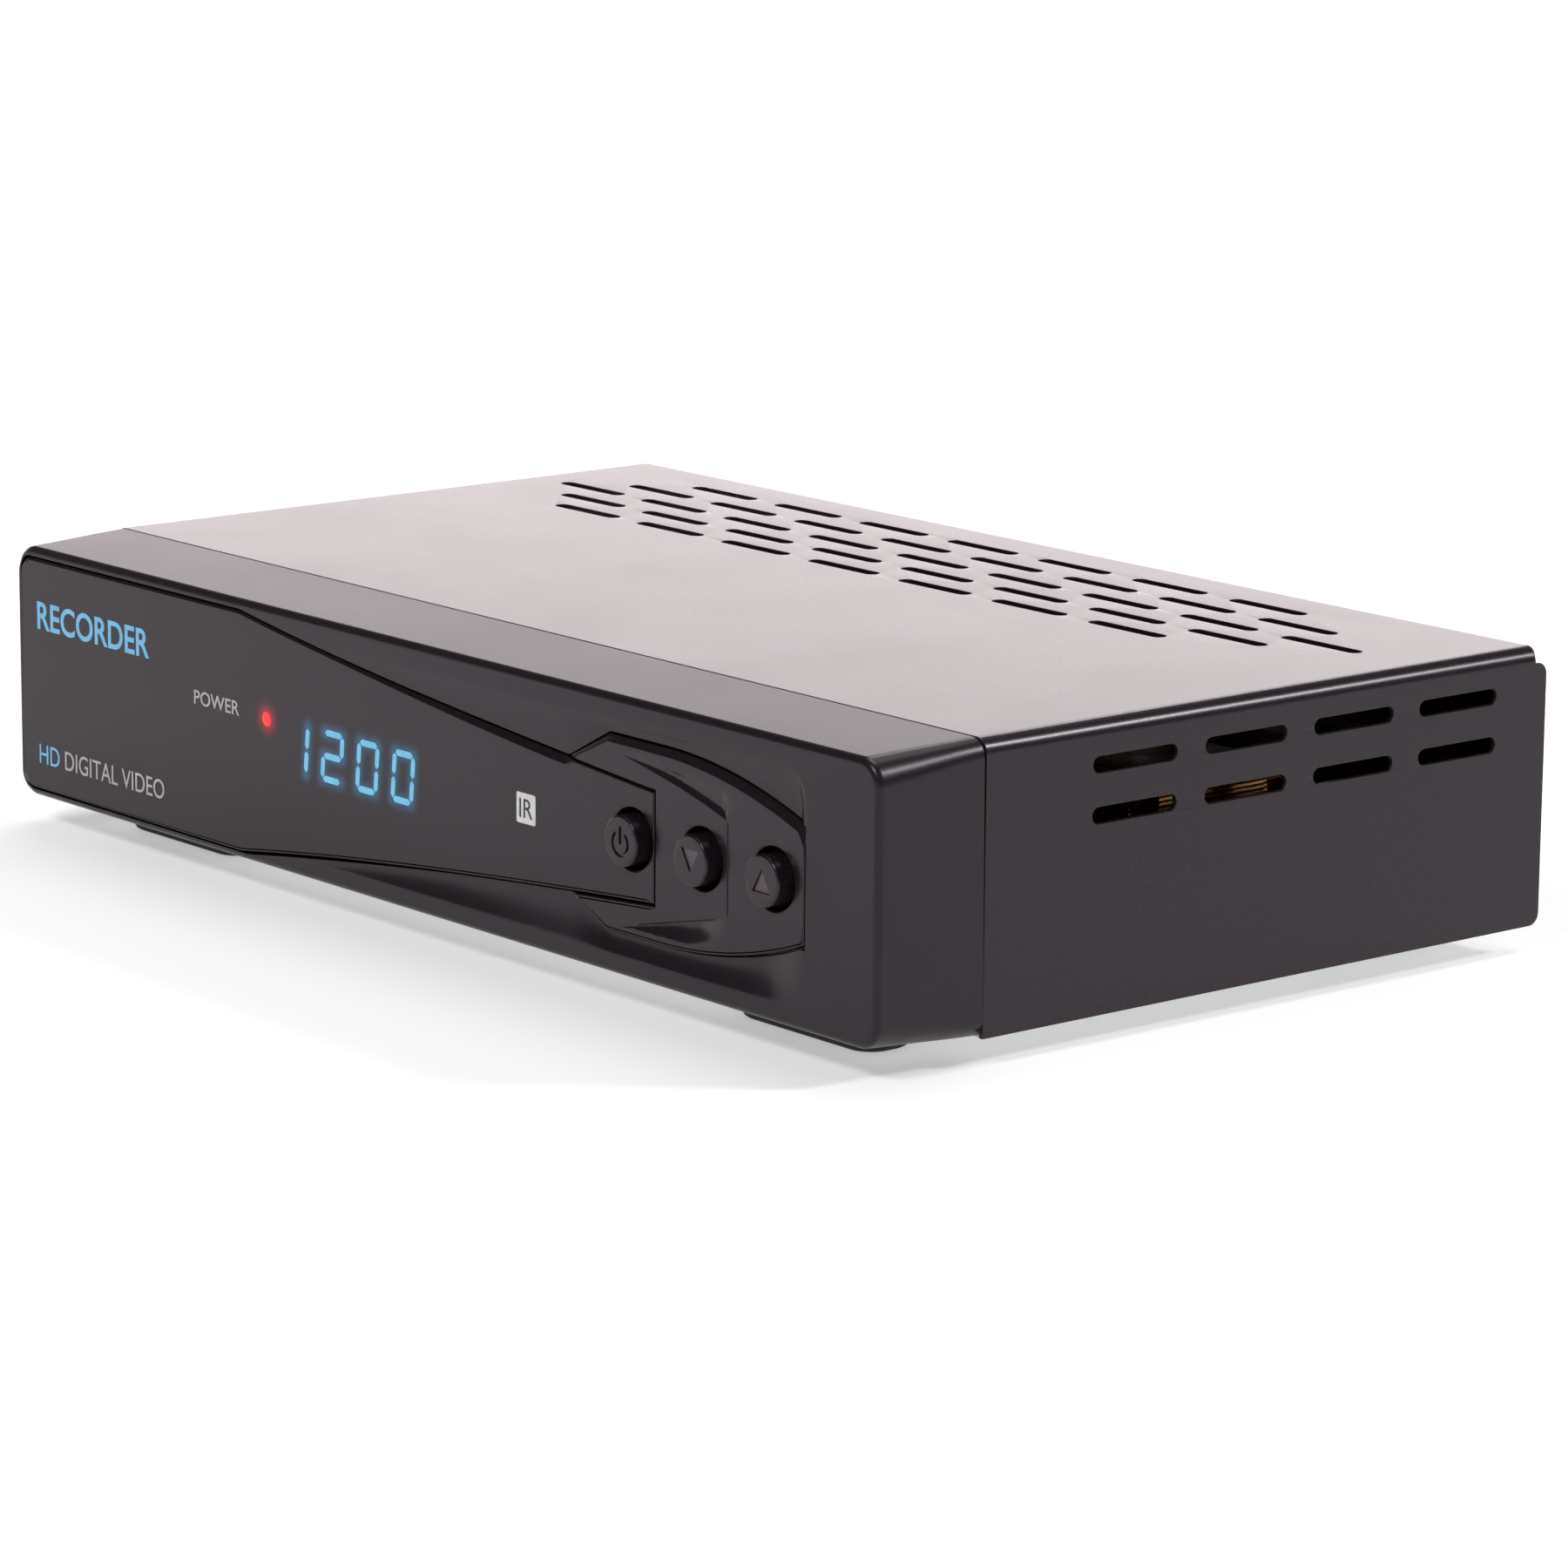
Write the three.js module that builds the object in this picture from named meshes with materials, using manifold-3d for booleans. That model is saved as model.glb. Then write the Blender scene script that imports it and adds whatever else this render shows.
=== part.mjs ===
// A compact set-top digital recorder: folded steel case, moulded front bezel with a smoked display
// lens, three push buttons, and the boards, disk and sockets inside and behind.
//
// Millimetres. +X is the viewer's right at the front, +Y runs from the front to the back, +Z is up.
// The pieces are drawn in the case frame, where y = 0 is the seam between bezel and cover and z = 0
// is the underside of the tray. The last lines move the case so that the origin lies on the table,
// at the centre of the whole recorder.

import * as THREE from "three";
import { mergeVertices } from "three/addons/utils/BufferGeometryUtils.js";
import Module from "manifold-3d";

const wasm = await Module();
wasm.setup();

// ---------------------------------------------------------------- driving dimensions
const CASE_WIDTH = 227;
const CASE_HEIGHT = 45;
const COVER_DEPTH = 118;
const BEZEL_DEPTH = 20;
const FOOT_HEIGHT = 4.4;
const SHEET = 0.8; // steel sheet
const BOARD = 1.6; // circuit board
const GAP = 0.15; // air between pieces that touch

const HALF_WIDTH = CASE_WIDTH / 2;
const FRONT = -BEZEL_DEPTH;
const BEZEL_FRONT_WALL = 5;
const BEZEL_WALL = 2.2;
const BEZEL_DRAFT = 0.8; // how much the bezel's top and bottom close in towards the front
const FACE_MID = 22.7; // height of the line through the buttons

const CAP_RADIUS = 4;
const CAP_PROUD = 2.3;
const CAP_HOLE_RADIUS = 4.85;
const BUTTON_PITCH = 16.7;
const BUTTON_TRAVEL = 0.5;
const POWER_BUTTON_X = 56.3;
const BUTTONS = ["power", "down", "up"].map((name, i) => ({ name, x: POWER_BUTTON_X + BUTTON_PITCH * i }));

const DISPLAY_BOARD_FRONT = -8.7;
const MAIN_BOARD_BOTTOM = 5.9;
const MAIN_BOARD_TOP = MAIN_BOARD_BOTTOM + BOARD;
const MAIN_BOARD = { left: -100, right: 54, front: 6, back: 114 };
const POWER_BOARD = { left: 58, right: 109, front: 8, back: 112 };
const REAR_PANEL = { inner: 116.3, outer: 117.1 };
const CONNECTOR_REACH = 9; // how far the aerial connectors stand out behind the cover

const SLOT = { length: 17, width: 2.5 };

// ---------------------------------------------------------------- finishes
const FINISHES = {
  blackSteel: { color: 0x2b292b, roughness: 0.42, metalness: 0.2 },
  bareSteel: { color: 0xb4b6b8, roughness: 0.35, metalness: 0.9 },
  blackPlastic: { color: 0x28262a, roughness: 0.4, metalness: 0 },
  smokedLens: { color: 0x3a373b, roughness: 0.12, metalness: 0 },
  darkPlastic: { color: 0x1b1b1d, roughness: 0.5, metalness: 0 },
  rubber: { color: 0x151515, roughness: 0.85, metalness: 0 },
  greenBoard: { color: 0x1d5a34, roughness: 0.45, metalness: 0 },
  blueDisplay: { color: 0x6fc0ee, roughness: 0.3, metalness: 0 },
  redLight: { color: 0xd02018, roughness: 0.25, metalness: 0 },
  aluminium: { color: 0xc9ccd0, roughness: 0.35, metalness: 0.9 },
  gold: { color: 0xc9a24a, roughness: 0.3, metalness: 0.9 },
  winding: { color: 0xc88a2a, roughness: 0.5, metalness: 0.1 },
  sleeve: { color: 0x20304a, roughness: 0.4, metalness: 0 },
  whiteCable: { color: 0xd8d8d2, roughness: 0.6, metalness: 0 },
  ceramic: { color: 0xe6e0d0, roughness: 0.5, metalness: 0 },
  nickel: { color: 0xa9a8a2, roughness: 0.25, metalness: 0.95 },
};

// ---------------------------------------------------------------- solids from three.js geometry
function solid(geometry) {
  const bare = geometry.index ? geometry.toNonIndexed() : geometry;
  bare.deleteAttribute("normal");
  bare.deleteAttribute("uv");
  const merged = mergeVertices(bare, 1e-4);
  return new wasm.Manifold(
    new wasm.Mesh({
      numProp: 3,
      vertProperties: merged.attributes.position.array,
      triVerts: new Uint32Array(merged.index.array),
    }),
  );
}

function geometryOf(shape) {
  const mesh = shape.getMesh();
  const geometry = new THREE.BufferGeometry();
  geometry.setAttribute("position", new THREE.BufferAttribute(mesh.vertProperties, 3));
  geometry.setIndex(new THREE.BufferAttribute(mesh.triVerts, 1));
  geometry.computeVertexNormals();
  return geometry;
}

const join = (pieces) => pieces.reduce((whole, piece) => whole.add(piece));
const cut = (body, tools) => tools.reduce((left, tool) => left.subtract(tool), body);

// A box between two limits on each axis, each given as [low, high].
function block([x0, x1], [y0, y1], [z0, z1]) {
  const box = new THREE.BoxGeometry(x1 - x0, y1 - y0, z1 - z0);
  return solid(box.translate((x0 + x1) / 2, (y0 + y1) / 2, (z0 + z1) / 2));
}

// A round bar along one axis, from low to high. at holds its centre on the other two axes in XYZ order.
function bar(axis, radius, [low, high], at, sides = 24) {
  const cylinder = new THREE.CylinderGeometry(radius, radius, high - low, sides);
  const middle = (low + high) / 2;
  if (axis === "x") return solid(cylinder.rotateZ(Math.PI / 2).translate(middle, at[0], at[1]));
  if (axis === "y") return solid(cylinder.translate(at[0], middle, at[1]));
  return solid(cylinder.rotateX(Math.PI / 2).translate(at[0], at[1], middle));
}

// An outline pushed along the axis that its plane leaves out. A quarter arc gets twice curveSegments.
function prism(plane, outline, [low, high], curveSegments = 2) {
  const geometry = new THREE.ExtrudeGeometry(outline, {
    depth: high - low,
    bevelEnabled: false,
    curveSegments,
  });
  if (plane === "xy") return solid(geometry.translate(0, 0, low));
  if (plane === "xz") return solid(geometry.rotateX(Math.PI / 2).translate(0, high, 0));
  return solid(geometry.rotateX(Math.PI / 2).rotateZ(Math.PI / 2).translate(low, 0, 0));
}

function polygon(points) {
  return new THREE.Shape(points.map(([a, b]) => new THREE.Vector2(a, b)));
}

function roundedRectangle([a0, a1], [b0, b1], radius) {
  const shape = new THREE.Shape();
  shape.moveTo(a0 + radius, b0);
  shape.absarc(a1 - radius, b0 + radius, radius, -Math.PI / 2, 0);
  shape.absarc(a1 - radius, b1 - radius, radius, 0, Math.PI / 2);
  shape.absarc(a0 + radius, b1 - radius, radius, Math.PI / 2, Math.PI);
  shape.absarc(a0 + radius, b0 + radius, radius, Math.PI, Math.PI * 1.5);
  return shape;
}

const around = (centre, halfLength) => [centre - halfLength, centre + halfLength];

const slotOutline = (a, b) =>
  roundedRectangle(around(a, SLOT.length / 2), around(b, SLOT.width / 2), SLOT.width / 2 - 0.01);

// ---------------------------------------------------------------- the scene graph
const recorder = new THREE.Group();
recorder.position.set(0, (BEZEL_DEPTH + CAP_PROUD - COVER_DEPTH - CONNECTOR_REACH) / 2, FOOT_HEIGHT);

function place(name, finish, shape) {
  const material = new THREE.MeshStandardMaterial(FINISHES[finish]);
  const mesh = new THREE.Mesh(geometryOf(shape), material);
  mesh.name = name;
  recorder.add(mesh);
}

// ---------------------------------------------------------------- case: cover, tray, rear panel, feet
const COVER_BEND = 2.5;
const COVER_FRONT = 0.4;
const COVER_FOOT_LINE = 0.3;
const REAR_BEND_START = COVER_DEPTH - COVER_BEND;
const COVER_FLANGE_BOTTOM = 35;

function coverSection() {
  const side = HALF_WIDTH;
  const inner = HALF_WIDTH - SHEET;
  const bendAt = side - COVER_BEND;
  const bendHeight = CASE_HEIGHT - COVER_BEND;
  const section = new THREE.Shape();
  section.moveTo(side, COVER_FOOT_LINE);
  section.lineTo(side, bendHeight);
  section.absarc(bendAt, bendHeight, COVER_BEND, 0, Math.PI / 2);
  section.absarc(-bendAt, bendHeight, COVER_BEND, Math.PI / 2, Math.PI);
  section.lineTo(-side, COVER_FOOT_LINE);
  section.lineTo(-inner, COVER_FOOT_LINE);
  section.absarc(-bendAt, bendHeight, COVER_BEND - SHEET, Math.PI, Math.PI / 2, true);
  section.absarc(bendAt, bendHeight, COVER_BEND - SHEET, Math.PI / 2, 0, true);
  section.lineTo(inner, COVER_FOOT_LINE);
  return section;
}

// The rear edge of the top, folded down over the rear panel.
function coverRearFold() {
  const bendHeight = CASE_HEIGHT - COVER_BEND;
  const lap = 0.5; // shared with the flat top
  const fold = new THREE.Shape();
  fold.moveTo(REAR_BEND_START - lap, CASE_HEIGHT);
  fold.lineTo(REAR_BEND_START, CASE_HEIGHT);
  fold.absarc(REAR_BEND_START, bendHeight, COVER_BEND, Math.PI / 2, 0, true);
  fold.lineTo(COVER_DEPTH, COVER_FLANGE_BOTTOM);
  fold.lineTo(COVER_DEPTH - SHEET, COVER_FLANGE_BOTTOM);
  fold.absarc(REAR_BEND_START, bendHeight, COVER_BEND - SHEET, 0, Math.PI / 2);
  fold.lineTo(REAR_BEND_START - lap, CASE_HEIGHT - SHEET);
  return prism("yz", fold, [-HALF_WIDTH + COVER_BEND, HALF_WIDTH - COVER_BEND]);
}

// Five rows of slots that narrow towards the front and the back of the patch.
const TOP_SLOT_PITCH = 23.25;
const TOP_SLOT_ROWS = [
  { y: 75.0, count: 7, first: -76.6 },
  { y: 82.7, count: 8, first: -84.9 },
  { y: 90.4, count: 9, first: -94.9 },
  { y: 98.2, count: 8, first: -84.9 },
  { y: 106.1, count: 7, first: -76.6 },
];
const SIDE_SLOTS = { columns: [30.0, 52.8, 75.6, 98.3], rows: [30.6, 38.3] };

function topSlots() {
  return TOP_SLOT_ROWS.flatMap(({ y, count, first }) =>
    Array.from({ length: count }, (_, i) =>
      prism("xy", slotOutline(first + TOP_SLOT_PITCH * i, y), [CASE_HEIGHT - 2, CASE_HEIGHT + 1], 1),
    ),
  );
}

function sideSlots() {
  const outer = HALF_WIDTH + 1;
  return SIDE_SLOTS.columns.flatMap((y) =>
    SIDE_SLOTS.rows.flatMap((z) => [
      prism("yz", slotOutline(y, z), [HALF_WIDTH - 2, outer], 1),
      prism("yz", slotOutline(y, z), [-outer, -HALF_WIDTH + 2], 1),
    ]),
  );
}

const COVER_SCREWS = [
  { name: "left", x: -92 },
  { name: "centre", x: 0 },
  { name: "right", x: 92 },
];
const COVER_SCREW_HEIGHT = 39.5;
const SCREW_RADIUS = 1.5;
const SCREW_HEAD_RADIUS = 3;
const SCREW_HEAD = 2;
const CROSS = { width: 0.8, length: 3.6, depth: 0.8 }; // the driver's cross in a cover screw
const SIDE_END = { front: 100, corner: 1.8 }; // the rounded rear ends of the cover's flanks

function topCover() {
  const shell = prism("xz", coverSection(), [COVER_FRONT, REAR_BEND_START]);
  const sideEnd = roundedRectangle(
    [SIDE_END.front, COVER_DEPTH],
    [COVER_FOOT_LINE, CASE_HEIGHT - COVER_BEND],
    SIDE_END.corner,
  );
  const right = prism("yz", sideEnd, [HALF_WIDTH - SHEET, HALF_WIDTH]);
  const left = prism("yz", sideEnd, [-HALF_WIDTH, -HALF_WIDTH + SHEET]);
  const screwHoles = COVER_SCREWS.map(({ x }) =>
    bar("y", SCREW_RADIUS + GAP, [COVER_DEPTH - 2, COVER_DEPTH + 1], [x, COVER_SCREW_HEIGHT], 12),
  );
  const whole = join([shell, right, left, coverRearFold()]);
  place("top_cover", "blackSteel", cut(whole, [...topSlots(), ...sideSlots(), ...screwHoles]));
}

function coverScrews() {
  for (const { name, x } of COVER_SCREWS) {
    const at = [x, COVER_SCREW_HEIGHT];
    const head = bar("y", SCREW_HEAD_RADIUS, [COVER_DEPTH + GAP, COVER_DEPTH + SCREW_HEAD], at, 16);
    const shank = bar("y", SCREW_RADIUS, [REAR_PANEL.inner - 4, COVER_DEPTH + 0.5], at, 12);
    const sunk = [COVER_DEPTH + SCREW_HEAD - CROSS.depth, COVER_DEPTH + SCREW_HEAD + 1];
    const slotAcross = block(around(x, CROSS.width / 2), sunk, around(at[1], CROSS.length / 2));
    const slotUp = block(around(x, CROSS.length / 2), sunk, around(at[1], CROSS.width / 2));
    place(`cover_screw_${name}`, "bareSteel", cut(head.add(shank), [slotAcross, slotUp]));
  }
}

const TRAY = { half: HALF_WIDTH - SHEET - 0.3, front: 0.8, back: 116.1, flange: 9 };
const TONGUE = { half: 104, front: -12.8, lip: 6 }; // the tray runs on under the bezel
const BOSS_RADIUS = 3.5;
const BOARD_SCREWS = [
  { name: "main_board_screw_1", x: -94, y: 12 },
  { name: "main_board_screw_2", x: 48, y: 12 },
  { name: "main_board_screw_3", x: -94, y: 66 },
  { name: "main_board_screw_4", x: 48, y: 96 },
  { name: "power_board_screw_1", x: 63, y: 12 },
  { name: "power_board_screw_2", x: 104, y: 92 },
];
const REST_BOSSES = [
  { x: 104, y: 14 },
  { x: 63, y: 92 },
  { x: -20, y: 66 },
];

function chassisTray() {
  const { half, front, back, flange } = TRAY;
  const floor = block([-half, half], [front, back], [0, SHEET]);
  const tongue = block([-TONGUE.half, TONGUE.half], [TONGUE.front, front + 1], [0, SHEET]);
  const lip = block([-TONGUE.half, TONGUE.half], [TONGUE.front, TONGUE.front + SHEET], [0, TONGUE.lip]);
  const sides = [half - SHEET / 2, -half + SHEET / 2].map((x) =>
    block(around(x, SHEET / 2), [4, back - 2], [0, flange]),
  );
  const bosses = [...BOARD_SCREWS, ...REST_BOSSES].map(({ x, y }) =>
    bar("z", BOSS_RADIUS, [SHEET / 2, MAIN_BOARD_BOTTOM - GAP], [x, y], 12),
  );
  const bores = BOARD_SCREWS.map(({ x, y }) => bar("z", SCREW_RADIUS + GAP, [1.5, 8], [x, y], 10));
  place("chassis_tray", "bareSteel", cut(join([floor, tongue, lip, ...sides, ...bosses]), bores));
}

function boardScrews() {
  for (const { name, x, y } of BOARD_SCREWS) {
    const head = bar("z", SCREW_HEAD_RADIUS, [MAIN_BOARD_TOP + GAP, MAIN_BOARD_TOP + SCREW_HEAD], [x, y], 12);
    const shank = bar("z", SCREW_RADIUS, [2, MAIN_BOARD_TOP + 1], [x, y], 10);
    place(name, "bareSteel", head.add(shank));
  }
}

// Sockets along the back: where each one stands, where its body starts, and its wall and tongue.
const AERIALS = [
  { name: "aerial_input", x: -90 },
  { name: "aerial_loop_output", x: -72 },
];
const AERIAL = { height: 14.7, radius: 4.75, hole: 5.2, nut: 6.4, nutDepth: 2.4, bore: 0.8, boreDepth: 8 };
const NETWORK = { x: [-58, -42], z: [7.7, 21.2], front: 97, wall: 1.6 };
const HDMI = { x: [-37, -22], z: [7.7, 13.7], front: 106, wall: 0.6, tongue: { inset: 2.5, z: [9.9, 11.3] } };
const USB = { x: [-17, -3], z: [7.7, 14.7], front: 104, wall: 0.6, tongue: { inset: 1.6, z: [10.9, 12.9] } };
const OPTICAL = { x: [2, 12], z: [7.7, 17.7], front: 106, shutterInset: 2.2 };
const PHONO = {
  x: [17, 47],
  z: [7.7, 20.7],
  jacks: [22, 32, 42],
  height: 14.2,
  front: 105,
  rear: 125.5,
  radius: 4.15,
  hole: 4.5,
  bore: 1.6,
  boreFront: 114,
};
const INLET = { x: [61, 83], z: [10.5, 26.5], front: 100, flange: [2, 1.5], rear: 1.8 };
const INLET_RECESS = { halfWidth: 8, halfHeight: 4.2, corner: 4.1, front: 108 };
const INLET_PIN = { radius: 1.2, offset: 4.3, front: 105, short: 2 };
const ROCKER = { x: [89, 104], z: [8, 30], front: 100, flange: 1.6, wall: 1.4, well: 8.5, rear: 1.8 };
const SOCKET_CLEARANCE = 0.3;
const PANEL_FOOT = { half: 104, length: 8 };

const grown = ([low, high], by) => [low - by, high + by];

function rearPanel() {
  const { inner, outer } = REAR_PANEL;
  const through = [inner - 1, outer + 1];
  const plate = block(around(0, HALF_WIDTH - 2 * SHEET), [inner, outer], [1, CASE_HEIGHT - COVER_BEND]);
  const footDepth = [inner - PANEL_FOOT.length, inner + 0.3];
  const foot = block(around(0, PANEL_FOOT.half), footDepth, [SHEET + GAP, SHEET * 2 + GAP]);
  const square = [NETWORK, HDMI, USB, OPTICAL, INLET, ROCKER].map(({ x, z }) =>
    block(grown(x, SOCKET_CLEARANCE), through, grown(z, SOCKET_CLEARANCE)),
  );
  const round = [
    ...AERIALS.map(({ x }) => bar("y", AERIAL.hole, through, [x, AERIAL.height])),
    ...PHONO.jacks.map((x) => bar("y", PHONO.hole, through, [x, PHONO.height])),
    ...COVER_SCREWS.map(({ x }) => bar("y", SCREW_RADIUS + GAP, through, [x, COVER_SCREW_HEIGHT], 12)),
  ];
  place("rear_panel", "blackSteel", cut(plate.add(foot), [...square, ...round]));
}

const FOOT = { length: 32, width: 11, radius: 3.5, sole: 1, soleInset: 0.8 };
const FEET = [
  { name: "front_left", x: -82.3, y: -3.4 },
  { name: "front_right", x: 82.3, y: -3.4 },
  { name: "rear_left", x: -82.3, y: 104 },
  { name: "rear_right", x: 82.3, y: 104 },
];

function feet() {
  for (const { name, x, y } of FEET) {
    const pad = (inset, heights) => {
      const outline = roundedRectangle(
        around(x, FOOT.length / 2 - inset),
        around(y, FOOT.width / 2 - inset),
        FOOT.radius - inset / 2,
      );
      return prism("xy", outline, heights);
    };
    const body = pad(0, [-FOOT_HEIGHT + FOOT.sole, -GAP]);
    const sole = pad(FOOT.soleInset, [-FOOT_HEIGHT, -FOOT_HEIGHT + FOOT.sole + 0.2]);
    place(`foot_${name}`, "rubber", body.add(sole));
  }
}

// ---------------------------------------------------------------- front: bezel, lens, button panel
const LENS_LEFT = -112.4;
const LENS_RIGHT = 61.5;
const LENS_TAPER_START = -47;
const LENS_TAPER = { tall: 20.05, end: 8.6, pull: [-5, 13.7] }; // half heights round its middle line
const LENS_CORNER = 3;
const LENS_DROP = 0.5; // its middle line below the line through the buttons
const LENS_THICKNESS = 2.4;
const PANEL_THICKNESS = 4;
const GROOVE = 0.35; // open line around the lens and the button panel
const DISH = { left: -8, right: 97, depth: 2.8, bottom: 4.4, top: 40.4 };
const PANEL_DISH = { left: 50, right: 79.8, depth: 1.2, bottom: 9, top: 36.4 };
const WINDOW = { x: [-46, 37], z: [13, 32] };
const SHIELD = { point: [40.5, 10], shoulder: 50, bend: 63, pull: 80, right: 96.7, tall: 15.15, end: 8.85 };

// Full height at the left, then a slow taper towards the power button. spread widens it all round.
function lensOutline(spread = 0) {
  const left = LENS_LEFT - spread;
  const right = LENS_RIGHT + spread;
  const tall = LENS_TAPER.tall + spread;
  const low = LENS_TAPER.end + spread;
  const [pullX, pull] = LENS_TAPER.pull;
  const bow = pull + spread;
  const corner = LENS_CORNER;
  const middle = FACE_MID - LENS_DROP;
  const outline = new THREE.Shape();
  outline.moveTo(LENS_TAPER_START, middle + tall);
  outline.quadraticCurveTo(pullX, middle + bow, right, middle + low);
  outline.lineTo(right, middle - low);
  outline.quadraticCurveTo(pullX, middle - bow, LENS_TAPER_START, middle - tall);
  outline.absarc(left + corner, middle - tall + corner, corner, -Math.PI / 2, -Math.PI, true);
  outline.absarc(left + corner, middle + tall - corner, corner, Math.PI, Math.PI / 2, true);
  return outline;
}

// A shield that rises from under the lens and tapers to the right.
function panelOutline(spread = 0) {
  const [pointX, point] = SHIELD.point;
  const right = SHIELD.right + spread;
  const tall = SHIELD.tall + spread;
  const low = SHIELD.end + spread;
  const outline = new THREE.Shape();
  outline.moveTo(pointX - spread, FACE_MID + point);
  outline.lineTo(SHIELD.shoulder - spread / 2, FACE_MID + tall);
  outline.lineTo(SHIELD.bend, FACE_MID + tall);
  outline.quadraticCurveTo(SHIELD.pull, FACE_MID + tall, right, FACE_MID + low);
  outline.lineTo(right, FACE_MID - low);
  outline.quadraticCurveTo(SHIELD.pull, FACE_MID - tall, SHIELD.bend, FACE_MID - tall);
  outline.lineTo(SHIELD.shoulder - spread / 2, FACE_MID - tall);
  outline.lineTo(pointX - spread, FACE_MID - point);
  return outline;
}

// A plate of the front, with enough points for the long curves of its outline.
const facePlate = (outline, depths) => prism("xz", outline, depths, 6);

// The raised plate round the down button: its left end, where its corners start, and its right end.
const MIDDLE_PLATE = { left: 51, corner: 76, right: 79.1, heights: [13.2, 8.9, 7.2, -7.6, -9.3, -13.2] };

function middlePlateOutline() {
  const { left, corner, right, heights } = MIDDLE_PLATE;
  const xs = [left, corner, right, right, corner, left];
  return polygon(xs.map((x, i) => [x, FACE_MID + heights[i]]));
}

// A hollow that starts at nothing on its left and is deepest at its right end.
function dish({ left, right, depth, bottom, top }) {
  const wedge = polygon([
    [left, FRONT - 1],
    [right, FRONT - 1],
    [right, FRONT + depth],
    [left, FRONT],
  ]);
  return prism("xy", wedge, [bottom, top]);
}

const BEZEL_CORNER = 4; // seen from above
const BEZEL_EDGE = 1.5; // seen from the side
const BEZEL_CORNER_FRONT = 3; // seen from the front

function bezelShell() {
  const plan = new THREE.Shape();
  const corner = BEZEL_CORNER;
  plan.moveTo(-HALF_WIDTH, 0);
  plan.lineTo(-HALF_WIDTH, FRONT + corner);
  plan.absarc(-HALF_WIDTH + corner, FRONT + corner, corner, Math.PI, Math.PI * 1.5);
  plan.absarc(HALF_WIDTH - corner, FRONT + corner, corner, -Math.PI / 2, 0);
  plan.lineTo(HALF_WIDTH, 0);
  const edge = BEZEL_EDGE;
  const side = polygon([
    [0, 0],
    [0, CASE_HEIGHT],
    [FRONT + edge, CASE_HEIGHT - BEZEL_DRAFT * 0.9],
    [FRONT, CASE_HEIGHT - BEZEL_DRAFT - edge],
    [FRONT, BEZEL_DRAFT + edge],
    [FRONT + edge, BEZEL_DRAFT * 0.9],
  ]);
  const front = roundedRectangle([-HALF_WIDTH, HALF_WIDTH], [0, CASE_HEIGHT], BEZEL_CORNER_FRONT);
  return prism("xy", plan, [-1, CASE_HEIGHT + 1])
    .intersect(prism("yz", side, around(0, CASE_WIDTH)))
    .intersect(prism("xz", front, [FRONT - 1, 1]));
}

const BEZEL_POSTS = { x: [-70, 12, 97], height: 34.5, radius: 2.5 };

function frontBezel() {
  const inside = FRONT + BEZEL_FRONT_WALL;
  const hollow = block(
    around(0, HALF_WIDTH - BEZEL_WALL),
    [inside, 1],
    [BEZEL_WALL + BEZEL_DRAFT, CASE_HEIGHT - BEZEL_WALL - BEZEL_DRAFT],
  );
  const tongueRoom = block(around(0, TONGUE.half + 0.4), [TONGUE.front - 0.4, 1], [-1, TONGUE.lip + 0.5]);
  const lensSeat = facePlate(lensOutline(GROOVE), [FRONT - 1, FRONT + LENS_THICKNESS + GAP]);
  const panelSeat = facePlate(panelOutline(GROOVE), [FRONT - 1, FRONT + PANEL_THICKNESS + GAP]);
  const window = block(WINDOW.x, [FRONT - 1, inside + 1], WINDOW.z);
  const stems = BUTTONS.map(({ x }) => bar("y", CAP_RADIUS + 1.3, [FRONT - 1, inside + 1], [x, FACE_MID]));
  const postDepth = [inside - 1, DISPLAY_BOARD_FRONT - GAP];
  const posts = BEZEL_POSTS.x.map((x) =>
    bar("y", BEZEL_POSTS.radius, postDepth, [x, BEZEL_POSTS.height], 12),
  );
  const shell = cut(bezelShell(), [hollow, tongueRoom, dish(DISH), lensSeat, panelSeat, window, ...stems]);
  place("front_bezel", "blackPlastic", join([shell, ...posts]));
}

function displayLens() {
  const powerX = BUTTONS[0].x;
  const plate = facePlate(lensOutline(), [FRONT, FRONT + LENS_THICKNESS]);
  const hole = bar("y", CAP_HOLE_RADIUS, [FRONT - 1, FRONT + 5], [powerX, FACE_MID], 32);
  place("display_lens", "smokedLens", plate.subtract(hole));
}

function buttonPanel() {
  const { left, right, depth, bottom, top } = PANEL_DISH;
  const plate = facePlate(panelOutline(), [FRONT, FRONT + PANEL_THICKNESS]);
  const stepped = dish({ left, right, depth, bottom, top }).subtract(
    prism("xz", middlePlateOutline(), [FRONT - 2, FRONT + 3]),
  );
  const underLens = facePlate(lensOutline(GROOVE), [FRONT - 1, FRONT + PANEL_THICKNESS + 1]);
  const holes = BUTTONS.slice(1).map(({ x }) =>
    bar("y", CAP_HOLE_RADIUS, [FRONT - 1, FRONT + 6], [x, FACE_MID], 32),
  );
  place("button_panel", "blackPlastic", cut(plate, [underLens, stepped, ...holes]));
}

// ---------------------------------------------------------------- display board and its parts
const DISPLAY_BOARD = { x: [-78, 104], z: [8.5, 38.5] };
const SWITCH_DEPTH = 3.4;
const PLUNGER_RADIUS = 1.75;
const CAP_BACK = FRONT + 6;
const CAP_BEVEL = 0.35;
const SWITCH_HALF = 3;
const DIGITS = { x: [-33, 5], front: FRONT + 3.2, z: [15.2, 29.2] };
const LIGHT = { at: [-39.4, 25.6], radius: 1.5, front: FRONT + 5 };
const RECEIVER = { x: [26.5, 33.5], z: [19.2, 26.2], front: FRONT + 6, eye: 2.4, eyeFront: FRONT + 4.2 };

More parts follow.
